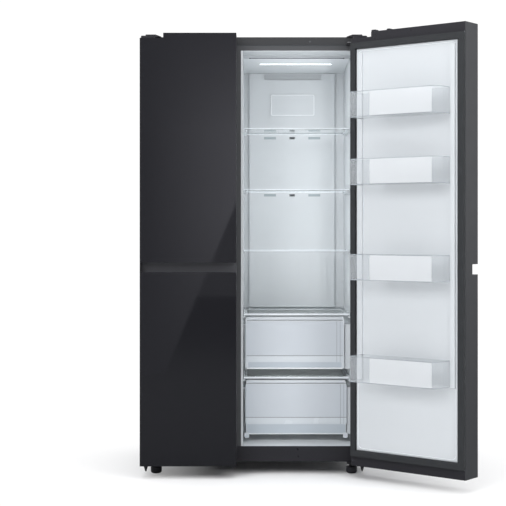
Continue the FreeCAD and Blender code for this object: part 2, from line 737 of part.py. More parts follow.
def supply_inlet():
    """The moulded grommet where the supply lead goes in."""
    back = V(0, 1, 0)
    neck = cylinder(INLET_X, BACK_IN, INLET_Z, INLET_R - CLEAR, STEEL, back)
    collar = cylinder(INLET_X, BACK_IN - INLET_DEEP, INLET_Z, INLET_R + INLET_LIP, INLET_DEEP, back)
    bore = cylinder(INLET_X, BACK_IN - INLET_DEEP, INLET_Z, INLET_BORE, INLET_DEEP + STEEL, back)
    return fuse([neck, collar]).cut(bore)


def refrigerant_tubes():
    """The discharge tube with the filter drier on it, and the suction tube up into the foam."""
    top = MACHINE_TOP - TUBE_DROP
    start = COMP_X + COMP_R - COMP_EDGE
    z = BASE_TOP + MOUNT_H + COMP_H * TUBE_SHARE
    y = COMP_Y
    turn, past, end = start + DISCHARGE_OUT, SHROUD_X + TUBE_PAST, COND_Z + COND_H * TUBE_IN
    discharge = tube([V(start, y, z), V(turn, y, z), V(turn, y, top), V(past, y, top),
                      V(past, y, end), V(COND_X, y, end)], TUBE_R, TUBE_BEND)
    drier = cylinder(start + DRIER_START, y, top, DRIER_R, DRIER_L, V(1, 0, 0))
    shell, out = y - COMP_R + COMP_EDGE, y - COMP_R - SUCTION_OUT
    side, high = COMP_X - SUCTION_DROP, MACHINE_TOP - SUCTION_DROP
    suction = tube([V(COMP_X, shell, z), V(COMP_X, out, z), V(COMP_X, out, high), V(side, out, high),
                    V(side, y, high), V(side, y, MACHINE_TOP)], TUBE_R, TUBE_BEND)
    return [fuse([discharge, drier]), suction]


def control_box():
    low = BASE_TOP + BOARD_LIFT
    return box(BOARD_X, BOARD_X + BOARD_W, BACK_IN - BOARD_D, BACK_IN, low, low + BOARD_H)


# ---------------------------------------------------------------- compartments inside

def evaporator():
    return finned_block(EVAP_X, EVAP_X + EVAP_W, BACK_WALL - EVAP_D, BACK_WALL, EVAP_Z, EVAP_Z + EVAP_H,
                        EVAP_FINS, EVAP_TUBES)


def freezer_back_cover():
    """A tray over the evaporator, with the fan's hole and the cold air slots."""
    x0, x1 = FREEZER_LEFT + CLEAR, FREEZER_RIGHT - CLEAR
    front = BACK_WALL - FREEZER_DUCT
    z0, z1 = STEP_FLOOR + CLEAR, OPENING_TOP - CLEAR
    tray = box(x0, x1, front, BACK_WALL, z0, z1)
    tray = tray.cut(box(x0 + PANEL, x1 - PANEL, front + PANEL, BACK_WALL, z0 + PANEL, z1 - PANEL))
    tray = tray.cut(cylinder(EFAN_X, front, EFAN_Z, EFAN_R + TIP_GAP, PANEL, V(0, 1, 0)))
    for z in FREEZER_SHELVES:
        low = z + FREEZER_SLOT_UP
        tray = tray.cut(box(x0 + FREEZER_SLOT_IN, x1 - FREEZER_SLOT_IN, front, front + PANEL,
                            low, low + FREEZER_SLOT_H))
    motor = motor_on_arms(V(EFAN_X, front - EFAN_OUT, EFAN_Z), V(0, 1, 0), EFAN_R + TIP_GAP)
    return fuse([tray, motor.common(box(x0, x1, front, BACK_WALL, z0, z1))])


def evaporator_fan():
    return fan(V(EFAN_X, BACK_WALL - FREEZER_DUCT - EFAN_OUT, EFAN_Z), V(0, 1, 0), EFAN_R)


def fridge_duct_panel():
    """The air duct panel on the fridge's back wall, with its slots and the grooves in its lower part."""
    x0, x1 = DUCT_X
    front = BACK_WALL - DUCT_D
    z0, z1 = UPPER_COVER + COVER_H + DUCT_GAP, CEILING_REAR - CLEAR
    tray = box(x0, x1, front, BACK_WALL, z0, z1)
    tray = tray.cut(box(x0 + PANEL, x1 - PANEL, front + PANEL, BACK_WALL, z0 + PANEL, z1 - PANEL))
    slots = [(z, a, b) for z in VENT_Z for a, b in VENT_X]
    for z, a, b in slots:
        tray = tray.cut(box(a, b, front, front + PANEL, z - VENT_H / 2, z + VENT_H / 2))
    for i in range(GRILLE_BARS):
        z = GRILLE_Z + i * GRILLE_PITCH
        tray = tray.cut(box(GRILLE_X[0], GRILLE_X[1], front, front + PANEL, z, z + GRILLE_PITCH / 2))
    for x in GROOVES:
        tray = tray.cut(box(x - GROOVE / 2, x + GROOVE / 2, front, front + GROOVE / 2,
                            z0 + GROOVE_LIFT, SHELVES[0] - GROOVE_DROP))
    return tray


def filter_cover():
    """A rounded cover plate that stands a little proud of the duct panel."""
    front = BACK_WALL - DUCT_D
    plate = box(FILTER_X - FILTER_W / 2, FILTER_X + FILTER_W / 2, front - FILTER_T, front,
                FILTER_Z - FILTER_H / 2, FILTER_Z + FILTER_H / 2)
    corners = [e for e in plate.Edges
               if abs(e.BoundBox.YLength - FILTER_T) < 0.01 and e.BoundBox.XLength < 0.01]
    return plate.makeFillet(FILTER_ROUND, corners)


def ceiling_panel():
    """A wedge right across the fridge's ceiling that carries the lamp and leads air to the duct."""
    profile = [(CEILING_Y, CEILING_FRONT), (BACK_WALL - CLEAR, CEILING_REAR),
               (BACK_WALL - CLEAR, OPENING_TOP - CLEAR), (CEILING_Y, OPENING_TOP - CLEAR)]
    return prism_x(profile, FRIDGE_LEFT + CLEAR, FRIDGE_RIGHT - CLEAR).cut(lamp_space())


def lamp_space():
    """The lamp's slot in the panel's sloping underside."""
    slope = (CEILING_FRONT - CEILING_REAR) / (BACK_WALL - CEILING_Y)
    low = CEILING_FRONT - slope * (LAMP_Y - CEILING_Y)
    return box(*LAMP_X, LAMP_Y, LAMP_Y + LAMP_D, low - slope * LAMP_D, low + LAMP_T)


def shelf_frame(x0, x1, y0, y1, top, height):
    """A moulded frame with a rebate for its pane; the front rail is the deepest."""
    outer = box(x0 + SHELF_SIDE, x1 - SHELF_SIDE, y0, y1, top - height, top)
    pane = shelf_pane(x0, x1, y0, y1, top)
    window = box(x0 + SHELF_SIDE + SHELF_RAIL, x1 - SHELF_SIDE - SHELF_RAIL, y0 + SHELF_RAIL, y1 - SHELF_RAIL,
                 top - height, top)
    return outer.cut(pane).cut(window)


def shelf_pane(x0, x1, y0, y1, top):
    inset = SHELF_SIDE + SHELF_LIP
    return box(x0 + inset, x1 - inset, y0 + SHELF_LIP * 2, y1 - SHELF_LIP, top - SHELF_GLASS, top)


def drawer(x0, x1, z0, z1, back):
    """A bin that hangs on its rims, and its front panel."""
    a, b = x0 + DRAWER_SIDE, x1 - DRAWER_SIDE
    front, face = DRAWER_FRONT, DRAWER_FRONT - DRAWER_PANEL
    low, rim = z0 + BIN_LIFT, z1 - RIM_DROP
    bin_outer = box(a, b, front, back, low, rim)
    rims = box(x0 - RIM_OUT, x1 + RIM_OUT, front, back, rim, rim + RIM_H)
    hollow = box(a + DRAWER_WALL, b - DRAWER_WALL, front + DRAWER_WALL, back - DRAWER_WALL,
                 low + DRAWER_WALL, rim + RIM_H)
    panel = box(x0, x1, face, front, z0, z1)
    corners = [e for e in panel.Edges
               if abs(e.BoundBox.YLength - DRAWER_PANEL) < 0.01 and e.BoundBox.ZLength < 0.01]
    panel = panel.makeFillet(DRAWER_ROUND, corners)
    grip = box(x0 + GRIP_IN, x1 - GRIP_IN, face - GRIP_OUT, face, z1 - GRIP_H, z1)
    return fuse([bin_outer, rims]).cut(hollow), fuse([panel, grip])


def corner_pads(x0, x1, z0):
    """The rounded pads under a drawer front's two lower corners."""
    face = DRAWER_FRONT - DRAWER_PANEL
    pads = []
    for low in (x0 - PAD_SIDE, x1 + PAD_SIDE - PAD_W):
        pad = box(low, low + PAD_W, face - GRIP_OUT, DRAWER_FRONT, z0 - PAD_DROP, z0 - PAD_DROP + PAD_H)
        edges = [e for e in pad.Edges if e.BoundBox.YLength > 1 and e.BoundBox.ZMax < z0 - PAD_DROP + 1]
        edges = [e for e in edges if e.BoundBox.XLength < 0.01]
        pads.append(pad.makeFillet(PAD_ROUND, edges))
    return pads


def drawer_ledges(x0, x1, wall0, wall1, z1, back):
    """The ledges a drawer's rims slide on, from the walls in to beside the bin."""
    top, front = z1 - RIM_DROP - CLEAR, DRAWER_FRONT + RUNNER_SETBACK
    reach = DRAWER_SIDE - LEDGE_GAP
    return [box(wall0, x0 + reach, front, back, top - RUNNER_H, top),
            box(x1 - reach, wall1, front, back, top - RUNNER_H, top)]


def crisper_spacers():
    """Blocks on the fridge's right wall that keep the drawers clear of a door opened only square."""
    spacers = []
    for x0, x1, z0, z1, back in (UPPER_DRAWER, LOWER_DRAWER):
        front = DRAWER_FRONT + RUNNER_SETBACK
        spacers.append(box(x1 + SPACER_GAP, FRIDGE_RIGHT, front, back, z0, z1 - RIM_DROP - CLEAR))
    return spacers


# ---------------------------------------------------------------- doors

def door_box(side, u0, u1, t0, t1, z0, z1):
    """A box in a door's own measures, placed with the door closed."""
    return box(side * (HALF - u0), side * (HALF - u1), -GAP - t0, -GAP - t1, z0, z1)


def door_prism(side, outline, z0, z1):
    """An outline in u and t, pushed up."""
    return prism([V(side * (HALF - u), -GAP - t, z0) for u, t in outline], V(0, 0, z1 - z0))


def channel_space(side, width, grow):
    """The handle groove between the two panels of glass, grown by the channel's wall."""
    return door_box(side, PROFILE, width + 1, DOOR_T - HANDLE_DEPTH - grow, DOOR_T + 1,
                    HANDLE_Z - grow, HANDLE_Z + HANDLE_H + grow)


def door_glass(side, width):
    front = (DOOR_T - GLASS, DOOR_T)
    lower = door_box(side, CLEAR, width - CLEAR, *front, DOOR_BOTTOM, HANDLE_Z)
    upper = door_box(side, CLEAR, width - CLEAR, *front, HANDLE_Z + HANDLE_H, DOOR_TOP)
    step = door_box(side, -1, STEP_U, 0, DOOR_T, DOOR_TOP - STEP_DOWN, DOOR_TOP)
    return [lower, upper.cut(step)]


def handle_channel(side, width):
    behind_glass = door_box(side, PROFILE, width, 0, DOOR_T - GLASS, 0, HEIGHT)
    return channel_space(side, width, CHANNEL_WALL).common(behind_glass).cut(channel_space(side, width, 0))


def door_profiles(side, width):
    """The two side profiles, from cap to cap and past them, behind the glass."""
    back = DOOR_T - GLASS
    hinge_side = door_box(side, 0, PROFILE, 0, back, DOOR_BOTTOM, DOOR_TOP - STEP_DOWN)
    free_side = door_box(side, width - PROFILE, width, 0, back, DOOR_BOTTOM, DOOR_TOP)
    return [hinge_side, free_side.cut(channel_space(side, width, 0)).cut(handle_channel(side, width))]


def pin_boss(side, z0, z1, radius):
    x, y = hinge_axis(side)
    return cylinder(x, y, z0, radius, z1 - z0)


def top_cap(side, width):
    """The cap on a door's top, stepped down at the hinge for the arm and its cover."""
    low, back = DOOR_TOP - CAP_H, DOOR_T - GLASS

    def form(inset):
        body = door_box(side, PROFILE + inset, width - PROFILE - inset, inset, back - inset,
                        low, DOOR_TOP - inset)
        return body.cut(door_box(side, 0, STEP_U + inset, 0, DOOR_T, DOOR_TOP - STEP_DOWN - inset, DOOR_TOP))

    boss = pin_boss(side, low, DOOR_TOP - STEP_DOWN, CAP_BOSS_R)
    seam = door_box(side, SEAM_U, SEAM_U + SEAM_W, 0, back, DOOR_TOP - SEAM_D, DOOR_TOP)
    lugs = [door_box(side, u, u + long, CAP_WALL, LUG_T, DOOR_TOP - CAP_WALL, DOOR_TOP + high)
            for u, long, high in LUGS]
    whole = fuse([form(0).cut(form(CAP_WALL)), boss] + lugs).cut(seam)
    return whole.cut(pin_boss(side, low, DOOR_TOP, PIN_R + PIN_CLEAR))


def bottom_cap(side, width):
    high, back = DOOR_BOTTOM + CAP_H, DOOR_T - GLASS
    outer = door_box(side, PROFILE, width - PROFILE, 0, back, DOOR_BOTTOM, high)
    inner = door_box(side, PROFILE + CAP_WALL, width - PROFILE - CAP_WALL, CAP_WALL, back - CAP_WALL,
                     DOOR_BOTTOM + CAP_WALL, high)
    boss = pin_boss(side, DOOR_BOTTOM, high, CAP_BOSS_R)
    return fuse([outer.cut(inner), boss]).cut(pin_boss(side, DOOR_BOTTOM, high, PIN_R + PIN_CLEAR))


def liner_form(side, width, inset):
    """The raised inner face with a dike down each side for the baskets, shrunk all round by an inset."""
    edge = GASKET_EDGE + GASKET_W + ISLAND_EDGE
    low = DOOR_BOTTOM + CAP_H + GASKET_OUT_Z + GASKET_W + ISLAND_EDGE
    high = DOOR_TOP - CAP_H - GASKET_OUT_Z - GASKET_W - ISLAND_EDGE
    forms = [door_box(side, edge + inset, width - edge - inset, -ISLAND_H + inset, LINER,
                      low + inset, high - inset)]
    for u in (edge + DIKE_IN, width - edge - DIKE_IN - DIKE_W):
        out = ISLAND_H + DIKE_H - inset
        outline = [(0, DIKE_BOTTOM + inset), (out, DIKE_BOTTOM + DIKE_H + inset), (out, DIKE_TOP - inset),
                   (0, DIKE_TOP - inset)]
        x0, x1 = side * (HALF - u - inset), side * (HALF - u - DIKE_W + inset)
        forms.append(prism_x([(-GAP + t, z) for t, z in outline], x0, x1))
    return fuse(forms)


def door_liner(side, width):
    plate = door_box(side, PROFILE, width - PROFILE, 0, LINER, DOOR_BOTTOM + CAP_H, DOOR_TOP - CAP_H)
    core = liner_form(side, width, LINER)
    return fuse([plate, liner_form(side, width, 0)]).cut(core)


def door_foam(side, width):
    body = door_box(side, PROFILE, width - PROFILE, LINER, DOOR_T - GLASS,
                    DOOR_BOTTOM + CAP_H, DOOR_TOP - CAP_H)
    space = channel_space(side, width, CHANNEL_WALL)
    return fuse([body.cut(space), liner_form(side, width, LINER)])


def gasket(side, width):
    """A magnetic gasket ring, thinner along the hinge edge to clear the cabinet as the door turns."""
    low, high = DOOR_BOTTOM + CAP_H + GASKET_OUT_Z, DOOR_TOP - CAP_H - GASKET_OUT_Z
    outer = door_box(side, GASKET_EDGE, width - GASKET_EDGE, 0, -GASKET, low, high)
    inner = door_box(side, GASKET_EDGE + GASKET_W, width - GASKET_EDGE - GASKET_W, 0, -GASKET,
                     low + GASKET_W, high - GASKET_W)
    past = -GASKET - 2
    wedge = door_prism(side, [(0, -GASKET_CHAMFER), (HINGE_A, -GASKET), (HINGE_A, past), (0, past)],
                       low - 1, high + 1)
    return outer.cut(inner).cut(wedge)


def basket_outline(width):
    edge = GASKET_EDGE + GASKET_W + ISLAND_EDGE + DIKE_IN + DIKE_W + BASKET_CLEAR
    near = ISLAND_H + CLEAR
    u0, u1 = edge, width - edge
    return [(u0, -near), (u0, -BASKET_OUT), (u1 - BASKET_SLANT_U, -BASKET_OUT),
            (u1, -BASKET_OUT + BASKET_SLANT_T), (u1, -near)]


def basket(side, width, z):
    """A clear open bin with a slanted corner at the door's free side."""
    outline = basket_outline(width)
    round_from = -GAP + BASKET_OUT - BASKET_SLANT_T - 1
    outer = door_prism(side, outline, z, z + BASKET_H)
    outer = round_upright(outer, BASKET_ROUND, lambda x, y: y > round_from)
    inset = BASKET_WALL
    inward = ((1, -1), (1, 1), (-1, 1), (-1, 0.5), (-1, -1))
    smaller = [(u + inset * du, t + inset * dt) for (u, t), (du, dt) in zip(outline, inward)]
    inner = door_prism(side, smaller, z + BASKET_WALL, z + BASKET_H)
    inner = round_upright(inner, BASKET_ROUND - inset, lambda x, y: y > round_from - inset)
    return outer.cut(inner)


def door(side, width, name):
    """Every piece of one door, as lists of solids by name."""
    pieces = {
        name + "_door_glass": door_glass(side, width),
        name + "_handle_channel": [handle_channel(side, width)],
        name + "_door_profiles": door_profiles(side, width),
        name + "_door_foam": [door_foam(side, width)],
        name + "_door_liner": [door_liner(side, width)],
        name + "_door_gasket": [gasket(side, width)],
        name + "_door_caps": [top_cap(side, width), bottom_cap(side, width)],
    }
    return pieces


# ---------------------------------------------------------------- the whole

def plan_point(u, t):
    """Where a point of the opened right door lies in plan."""
    x, y = hinge_axis(1)
    angle = math.radians(DOOR_ANGLE)
    dx, dy = HALF - u - x, -GAP - t - y
    return x + dx * math.cos(angle) - dy * math.sin(angle), y + dx * math.sin(angle) + dy * math.cos(angle)


def origin_shift():
    """The vector that brings the bottom centre of the whole box at rest to the origin."""
    right = plan_point(RIGHT_W, DOOR_T)[0]
    corners = [plan_point(u, t)[1] for u, t in basket_outline(RIGHT_W)] + [plan_point(RIGHT_W, 0)[1]]
    return V(-(right - HALF) / 2, -(min(corners) + CABINET_DEPTH) / 2, 0)


def assembly():
    """Every node's solids, by name, in the design frame with the right door open."""
    nodes = {
        "cabinet_shell": [cabinet_shell()],
        "rear_panels": [back_panel(), machine_cover()],
        "base_pan": [base_pan()],
        "cabinet_foam": foam_walls(),
        "bottom_rail": [bottom_rail()],
        "top_front_cover": [top_front_cover()],
        "hinges": [s for side in (1, -1) for s in top_hinge(side) + [bottom_hinge(side)]],
        "hinge_bolts": hinge_bolts(),
        "hinge_covers": [hinge_cover(side) for side in (1, -1)],
        "supply_inlet": [supply_inlet()],
        "compressor": [compressor()],
        "compressor_mounts": compressor_mounts(),
        "condenser": [condenser()],
        "condenser_shroud": [condenser_shroud()],
        "condenser_fan": [condenser_fan()],
        "drip_tray": [drip_tray()],
        "refrigerant_tubes": refrigerant_tubes(),
        "control_box": [control_box()],
        "evaporator": [evaporator()],
        "evaporator_fan": [evaporator_fan()],
        "freezer_back_cover": [freezer_back_cover()],
        "fridge_air_ducts": [fridge_duct_panel(), ceiling_panel()],
        "ceiling_lamp": [lamp_space()],
        "filter_cover": [filter_cover()],
    }
    for name, side in (("right", 1), ("left", -1)):
        nodes[name + "_front_foot"] = [front_foot(side)]
        nodes[name + "_rear_roller"] = [roller(side)]

    fridge = FRIDGE_LEFT, FRIDGE_RIGHT
    freezer = FREEZER_LEFT, FREEZER_RIGHT
    panes, fridge_ledges, freezer_ledges = [], [], []
    ledge_run = SHELF_FRONT + RUNNER_SETBACK, SHELF_BACK
    for i, z in enumerate(SHELVES):
        nodes["fridge_shelf_%d" % (i + 1)] = [shelf_frame(*fridge, SHELF_FRONT, SHELF_BACK, z, SHELF_TRIM_H)]
        panes.append(shelf_pane(*fridge, SHELF_FRONT, SHELF_BACK, z))
        fridge_ledges += side_ledges(*fridge, RUNNER_W, *ledge_run, z - SHELF_TRIM_H)
    covers = []
    for z, back in ((UPPER_COVER + COVER_H, COVER_BACK), (LOWER_COVER + COVER_H, COVER_BACK)):
        covers.append(shelf_frame(*fridge, SHELF_FRONT, back, z, COVER_H))
        panes.append(shelf_pane(*fridge, SHELF_FRONT, back, z))
        fridge_ledges += side_ledges(*fridge, RUNNER_W, ledge_run[0], back, z - COVER_H)
    nodes["crisper_covers"] = covers
    nodes["fridge_shelf_panes"] = panes

    for name, spec in (("upper", UPPER_DRAWER), ("lower", LOWER_DRAWER)):
        x0, x1, z0, z1, back = spec
        bin_solid, panel = drawer(x0, x1, z0, z1, back)
        nodes[name + "_crisper_bin"] = [bin_solid]
        if name == "lower":
            panel = fuse([panel] + corner_pads(x0, x1, z0))
        nodes[name + "_crisper_front"] = [panel]
        fridge_ledges += drawer_ledges(x0, x1, *fridge, z1, back)

    shelves, drawers = [], []
    for z in FREEZER_SHELVES:
        shelves.append(shelf_frame(*freezer, SHELF_FRONT, SHELF_BACK, z, SHELF_TRIM_H)
                       .fuse(shelf_pane(*freezer, SHELF_FRONT, SHELF_BACK, z)))
        freezer_ledges += side_ledges(*freezer, RUNNER_W, *ledge_run, z - SHELF_TRIM_H)
    for _, _, z0, z1, depth in (UPPER_DRAWER, LOWER_DRAWER):
        back = min(depth, BACK_WALL - FREEZER_DUCT - DRAWER_BACK_GAP)
        drawers.append(fuse(drawer(*FREEZER_DRAWER_X, z0, z1, back)))
        freezer_ledges += drawer_ledges(*FREEZER_DRAWER_X, *freezer, z1, back)
    nodes["freezer_shelves"] = [fuse([s]) for s in shelves]
    nodes["freezer_drawers"] = drawers
    nodes["freezer_liner"] = [liner(*freezer, freezer_ledges)]

    nodes["fridge_liner"] = [liner(*fridge, fridge_ledges + crisper_spacers())]
    nodes.update(door(-1, LEFT_W, "left"))
    nodes["left_door_baskets"] = [basket(-1, LEFT_W, z) for z in BASKETS]
    right = door(1, RIGHT_W, "right")
    for i, z in enumerate(BASKETS):
        right["right_basket_%d" % (i + 1)] = [basket(1, RIGHT_W, z)]
    x, y = hinge_axis(1)
    for name, solids in right.items():
        nodes[name] = [s.rotated(V(x, y, 0), V(0, 0, 1), DOOR_ANGLE) for s in solids]
    return nodes


def export(nodes):
    os.makedirs("parts", exist_ok=True)
    shift = origin_shift()
    for name, solids in nodes.items():
        moved = [solid.translated(shift) for solid in solids]
        flat = [s for shape in moved for s in shape.Solids]
        whole = flat[0] if len(flat) == 1 else Part.makeCompound(flat)
        whole.exportStep("parts/" + name + ".step")


export(assembly())
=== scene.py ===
"""Looks of the side by side refrigerator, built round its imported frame. Metres, +Z up, doors facing -Y."""
import json
import math

import bmesh
import bpy
from mathutils import Matrix, Vector


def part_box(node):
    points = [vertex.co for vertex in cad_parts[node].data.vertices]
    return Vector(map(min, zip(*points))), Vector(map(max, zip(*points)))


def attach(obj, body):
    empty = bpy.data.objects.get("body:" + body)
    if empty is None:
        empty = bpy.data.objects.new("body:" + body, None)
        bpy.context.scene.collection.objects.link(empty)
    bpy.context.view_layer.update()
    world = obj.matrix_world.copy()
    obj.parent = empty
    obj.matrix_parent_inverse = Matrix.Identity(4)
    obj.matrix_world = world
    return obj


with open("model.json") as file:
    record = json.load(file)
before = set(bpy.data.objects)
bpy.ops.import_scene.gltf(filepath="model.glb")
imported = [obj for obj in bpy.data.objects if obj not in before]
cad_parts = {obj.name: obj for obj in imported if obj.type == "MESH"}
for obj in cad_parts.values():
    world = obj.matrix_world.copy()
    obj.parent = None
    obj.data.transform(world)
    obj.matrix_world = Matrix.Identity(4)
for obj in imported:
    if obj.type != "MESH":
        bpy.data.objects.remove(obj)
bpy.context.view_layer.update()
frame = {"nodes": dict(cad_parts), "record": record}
NODES = frame["nodes"]
RECORD = frame["record"]
JOINTS = {joint["name"]: joint for joint in RECORD["behaviour"]["joints"]}
SLOTS = {part["node"]: part["material_slot"] for part in RECORD["subparts"]}

# ---------------------------------------------------------------- places taken from the frame
SHELL_LOW, SHELL_HIGH = (Vector(corner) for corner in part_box("cabinet_shell"))
CENTRE_X = (SHELL_LOW.x + SHELL_HIGH.x) / 2
FRONT_Y = SHELL_LOW.y
LEFT_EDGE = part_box("left_door_profiles")[0][0] - CENTRE_X
HALF = -LEFT_EDGE
DOOR_GAP = FRONT_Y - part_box("left_door_profiles")[1][1]
FRIDGE_MID = (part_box("fridge_shelf_1")[0][0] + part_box("fridge_shelf_1")[1][0]) / 2 - CENTRE_X
FREEZER_MID = (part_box("freezer_shelves")[0][0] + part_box("freezer_shelves")[1][0]) / 2 - CENTRE_X
SPACE_EDGES = [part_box("crisper_covers")[1][2], *(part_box("fridge_shelf_%d" % i)[1][2] for i in (1, 2, 3)),
               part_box("ceiling_lamp")[0][2]]
HINGE = Vector(JOINTS["right_door_hinge"]["pos_m"])
OPEN_ANGLE = -math.radians(JOINTS["right_door_hinge"]["range_deg"][0])
OPENED = Matrix.Translation(HINGE) @ Matrix.Rotation(OPEN_ANGLE, 4, "Z") @ Matrix.Translation(-HINGE)
CLOSED = OPENED.inverted()


def at(x, y, z):
    """A place measured from the cabinet's centre line, its front plane and the floor."""
    return Vector((CENTRE_X + x, FRONT_Y + y, z))


# ---------------------------------------------------------------- shader maths
class Maths:
    """A socket in a material's tree, with Python's operators adding its nodes."""

    def __init__(self, paint, socket):
        self.paint, self.socket = paint, socket

    def _join(self, operation, *values, clamp=False):
        return self.paint.node("ShaderNodeMath", {"operation": operation, "use_clamp": clamp}, list(values))

    def __add__(self, other):
        return self._join("ADD", self, other)

    def __sub__(self, other):
        return self._join("SUBTRACT", self, other)

    def __rsub__(self, other):
        return self._join("SUBTRACT", other, self)

    def __mul__(self, other):
        return self._join("MULTIPLY", self, other)

    __radd__, __rmul__ = __add__, __mul__

    def over(self, edge, soft):
        """0 below edge, 1 above edge + soft."""
        return self._join("MULTIPLY", self - edge, 1 / soft, clamp=True)


class Paint:
    """A material's tree with one Principled shader."""

    def __init__(self, name, colour, roughness, **settings):
        self.material = bpy.data.materials.new(name)
        self.material.use_nodes = True
        self.tree = self.material.node_tree
        self.shader = next(n for n in self.tree.nodes if n.type == "BSDF_PRINCIPLED")
        self.set("Base Color", (*colour, 1.0))
        self.set("Roughness", roughness)
        for socket, value in settings.items():
            self.set(socket.replace("_", " "), value)

    def set(self, socket, value):
        """Sets a socket of the shader to a value or joins it to an output."""
        if isinstance(value, Maths):
            self.tree.links.new(value.socket, self.shader.inputs[socket])
        else:
            self.shader.inputs[socket].default_value = value

    def node(self, kind, settings, sockets, output=0):
        """Adds a node, its settings first, then the values or links of its sockets."""
        made = self.tree.nodes.new(kind)
        for key, value in settings.items():
            if key == "ramp":
                ramp = made.color_ramp
                while len(ramp.elements) < len(value):
                    ramp.elements.new(0.5)
                for element, (place, colour) in zip(ramp.elements, value):
                    element.position, element.color = place, colour
            else:
                setattr(made, key, value)
        pairs = enumerate(sockets) if isinstance(sockets, list) else sockets.items()
        for key, value in pairs:
            if isinstance(value, Maths):
                self.tree.links.new(value.socket, made.inputs[key])
            else:
                made.inputs[key].default_value = value
        return Maths(self, made.outputs[output])

    def place(self):
        """The point on the surface, in Object coordinates."""
        return self.node("ShaderNodeTexCoord", {}, {}, "Object")

    def axes(self):
        """The object's X, Y and Z as three values."""
        split = self.tree.nodes.new("ShaderNodeSeparateXYZ")
        self.tree.links.new(self.place().socket, split.inputs[0])
        return [Maths(self, output) for output in split.outputs]

    def noise(self, scale, detail=2.0, stretch=None):
        """A cloudy pattern from 0 to 1."""
        place = self.place()
        if stretch:
            place = self.node("ShaderNodeMapping", {}, {"Vector": place, "Scale": stretch})
        return self.node("ShaderNodeTexNoise", {}, {"Vector": place, "Scale": scale, "Detail": detail}, "Fac")

    def cells(self, scale):
        """A pattern of rounded cells."""
        return self.node("ShaderNodeTexVoronoi", {}, {"Vector": self.place(), "Scale": scale}, "Distance")

    def tint(self, mask, low, high):
        """A colour between two, by a mask."""
        return self.node("ShaderNodeMix", {"data_type": "RGBA"},
                         {0: mask, 6: (*low, 1.0), 7: (*high, 1.0)}, 2)

    def bump(self, height, distance, strength):
        """Tilts the surface by a height pattern."""
        sockets = {"Height": height, "Distance": distance, "Strength": strength}
        self.set("Normal", self.node("ShaderNodeBump", {}, sockets, "Normal"))


def black_glass():
    """Back-painted glass: a deep black under a clear face, very slightly wavy."""
    paint = Paint("black_glass", (0.0085, 0.0085, 0.0105), 0.035, IOR=1.52, Coat_Weight=0.0)
    low, high = (0.0075, 0.0075, 0.0095), (0.0095, 0.0095, 0.0115)
    paint.set("Base Color", paint.tint(paint.noise(2.2, 2.0), low, high))
    paint.set("Roughness", paint.noise(9.0, 3.0) * 0.02 + 0.028)
    paint.bump(paint.noise(1.6, 1.0), 0.0009, 0.12)
    return paint.material


def dark_paint(name, low, high, roughness, peel=420.0):
    """Baked paint on sheet steel, with a fine orange peel."""
    paint = Paint(name, low, roughness, IOR=1.48)
    paint.set("Base Color", paint.tint(paint.noise(3.0, 3.0), low, high))
    paint.set("Roughness", paint.noise(14.0, 3.0) * 0.12 + (roughness - 0.06))
    paint.bump(paint.noise(peel, 2.0), 0.00012, 0.35)
    return paint.material


def grained_plastic(name, low, high, roughness, grain=900.0, depth=0.00018):
    """Moulded plastic with a spark-eroded grain."""
    paint = Paint(name, low, roughness, IOR=1.47)
    paint.set("Base Color", paint.tint(paint.noise(5.0, 3.0), low, high))
    paint.set("Roughness", paint.noise(30.0, 3.0) * 0.14 + (roughness - 0.07))
    paint.bump(paint.cells(grain), depth, 0.4)
    return paint.material


def white_moulding(name, low, high, roughness=0.36):
    """Vacuum-formed white liner: satin, with a faint unevenness from the mould."""
    paint = Paint(name, low, roughness, IOR=1.5)
    paint.set("Base Color", paint.tint(paint.noise(1.8, 2.0), low, high))
    paint.set("Roughness", paint.noise(11.0, 3.0) * 0.14 + (roughness - 0.07))
    paint.bump(paint.noise(26.0, 2.0) + paint.noise(700.0, 1.0) * 0.05, 0.0006, 0.18)
    return paint.material


def clear_plastic(name, colour, roughness, body):
    """Clear or frosted styrene or glass; body is how much of it the eye stops at."""
    paint = Paint(name, colour, roughness, IOR=1.45, Alpha=body)
    paint.set("Roughness", paint.noise(40.0, 2.0) * 0.03 + roughness)
    return paint.material


def rubber():
    """Dark door seal, dull and slightly mottled."""
    paint = Paint("seal_rubber", (0.035, 0.037, 0.04), 0.62, IOR=1.45)
    paint.set("Base Color", paint.tint(paint.noise(24.0, 3.0), (0.022, 0.024, 0.026), (0.032, 0.034, 0.037)))
    paint.bump(paint.noise(650.0, 2.0), 0.0001, 0.4)
    return paint.material


def metal(name, low, high, roughness, scale, stretch=None, spangle=False):
    """Bare metal: brushed along one way, or with a galvanised spangle."""
    paint = Paint(name, low, roughness, Metallic=1.0)
    pattern = paint.cells(scale) if spangle else paint.noise(scale, 3.0, stretch=stretch)
    paint.set("Base Color", paint.tint(pattern, low, high))
    paint.set("Roughness", pattern * 0.16 + (roughness - 0.08))
    paint.bump(paint.noise(500.0, 2.0, stretch=stretch), 0.00008, 0.3)
    return paint.material


def foam():
    """Rigid yellow foam with open cells."""
    paint = Paint("rigid_foam", (0.72, 0.62, 0.42), 0.9)
    paint.set("Base Color", paint.tint(paint.noise(60.0, 4.0), (0.66, 0.56, 0.37), (0.78, 0.69, 0.5)))
    paint.bump(paint.cells(260.0), 0.0006, 0.6)
    return paint.material


LAMP_RIM, LAMP_FADE = 0.008, 0.003


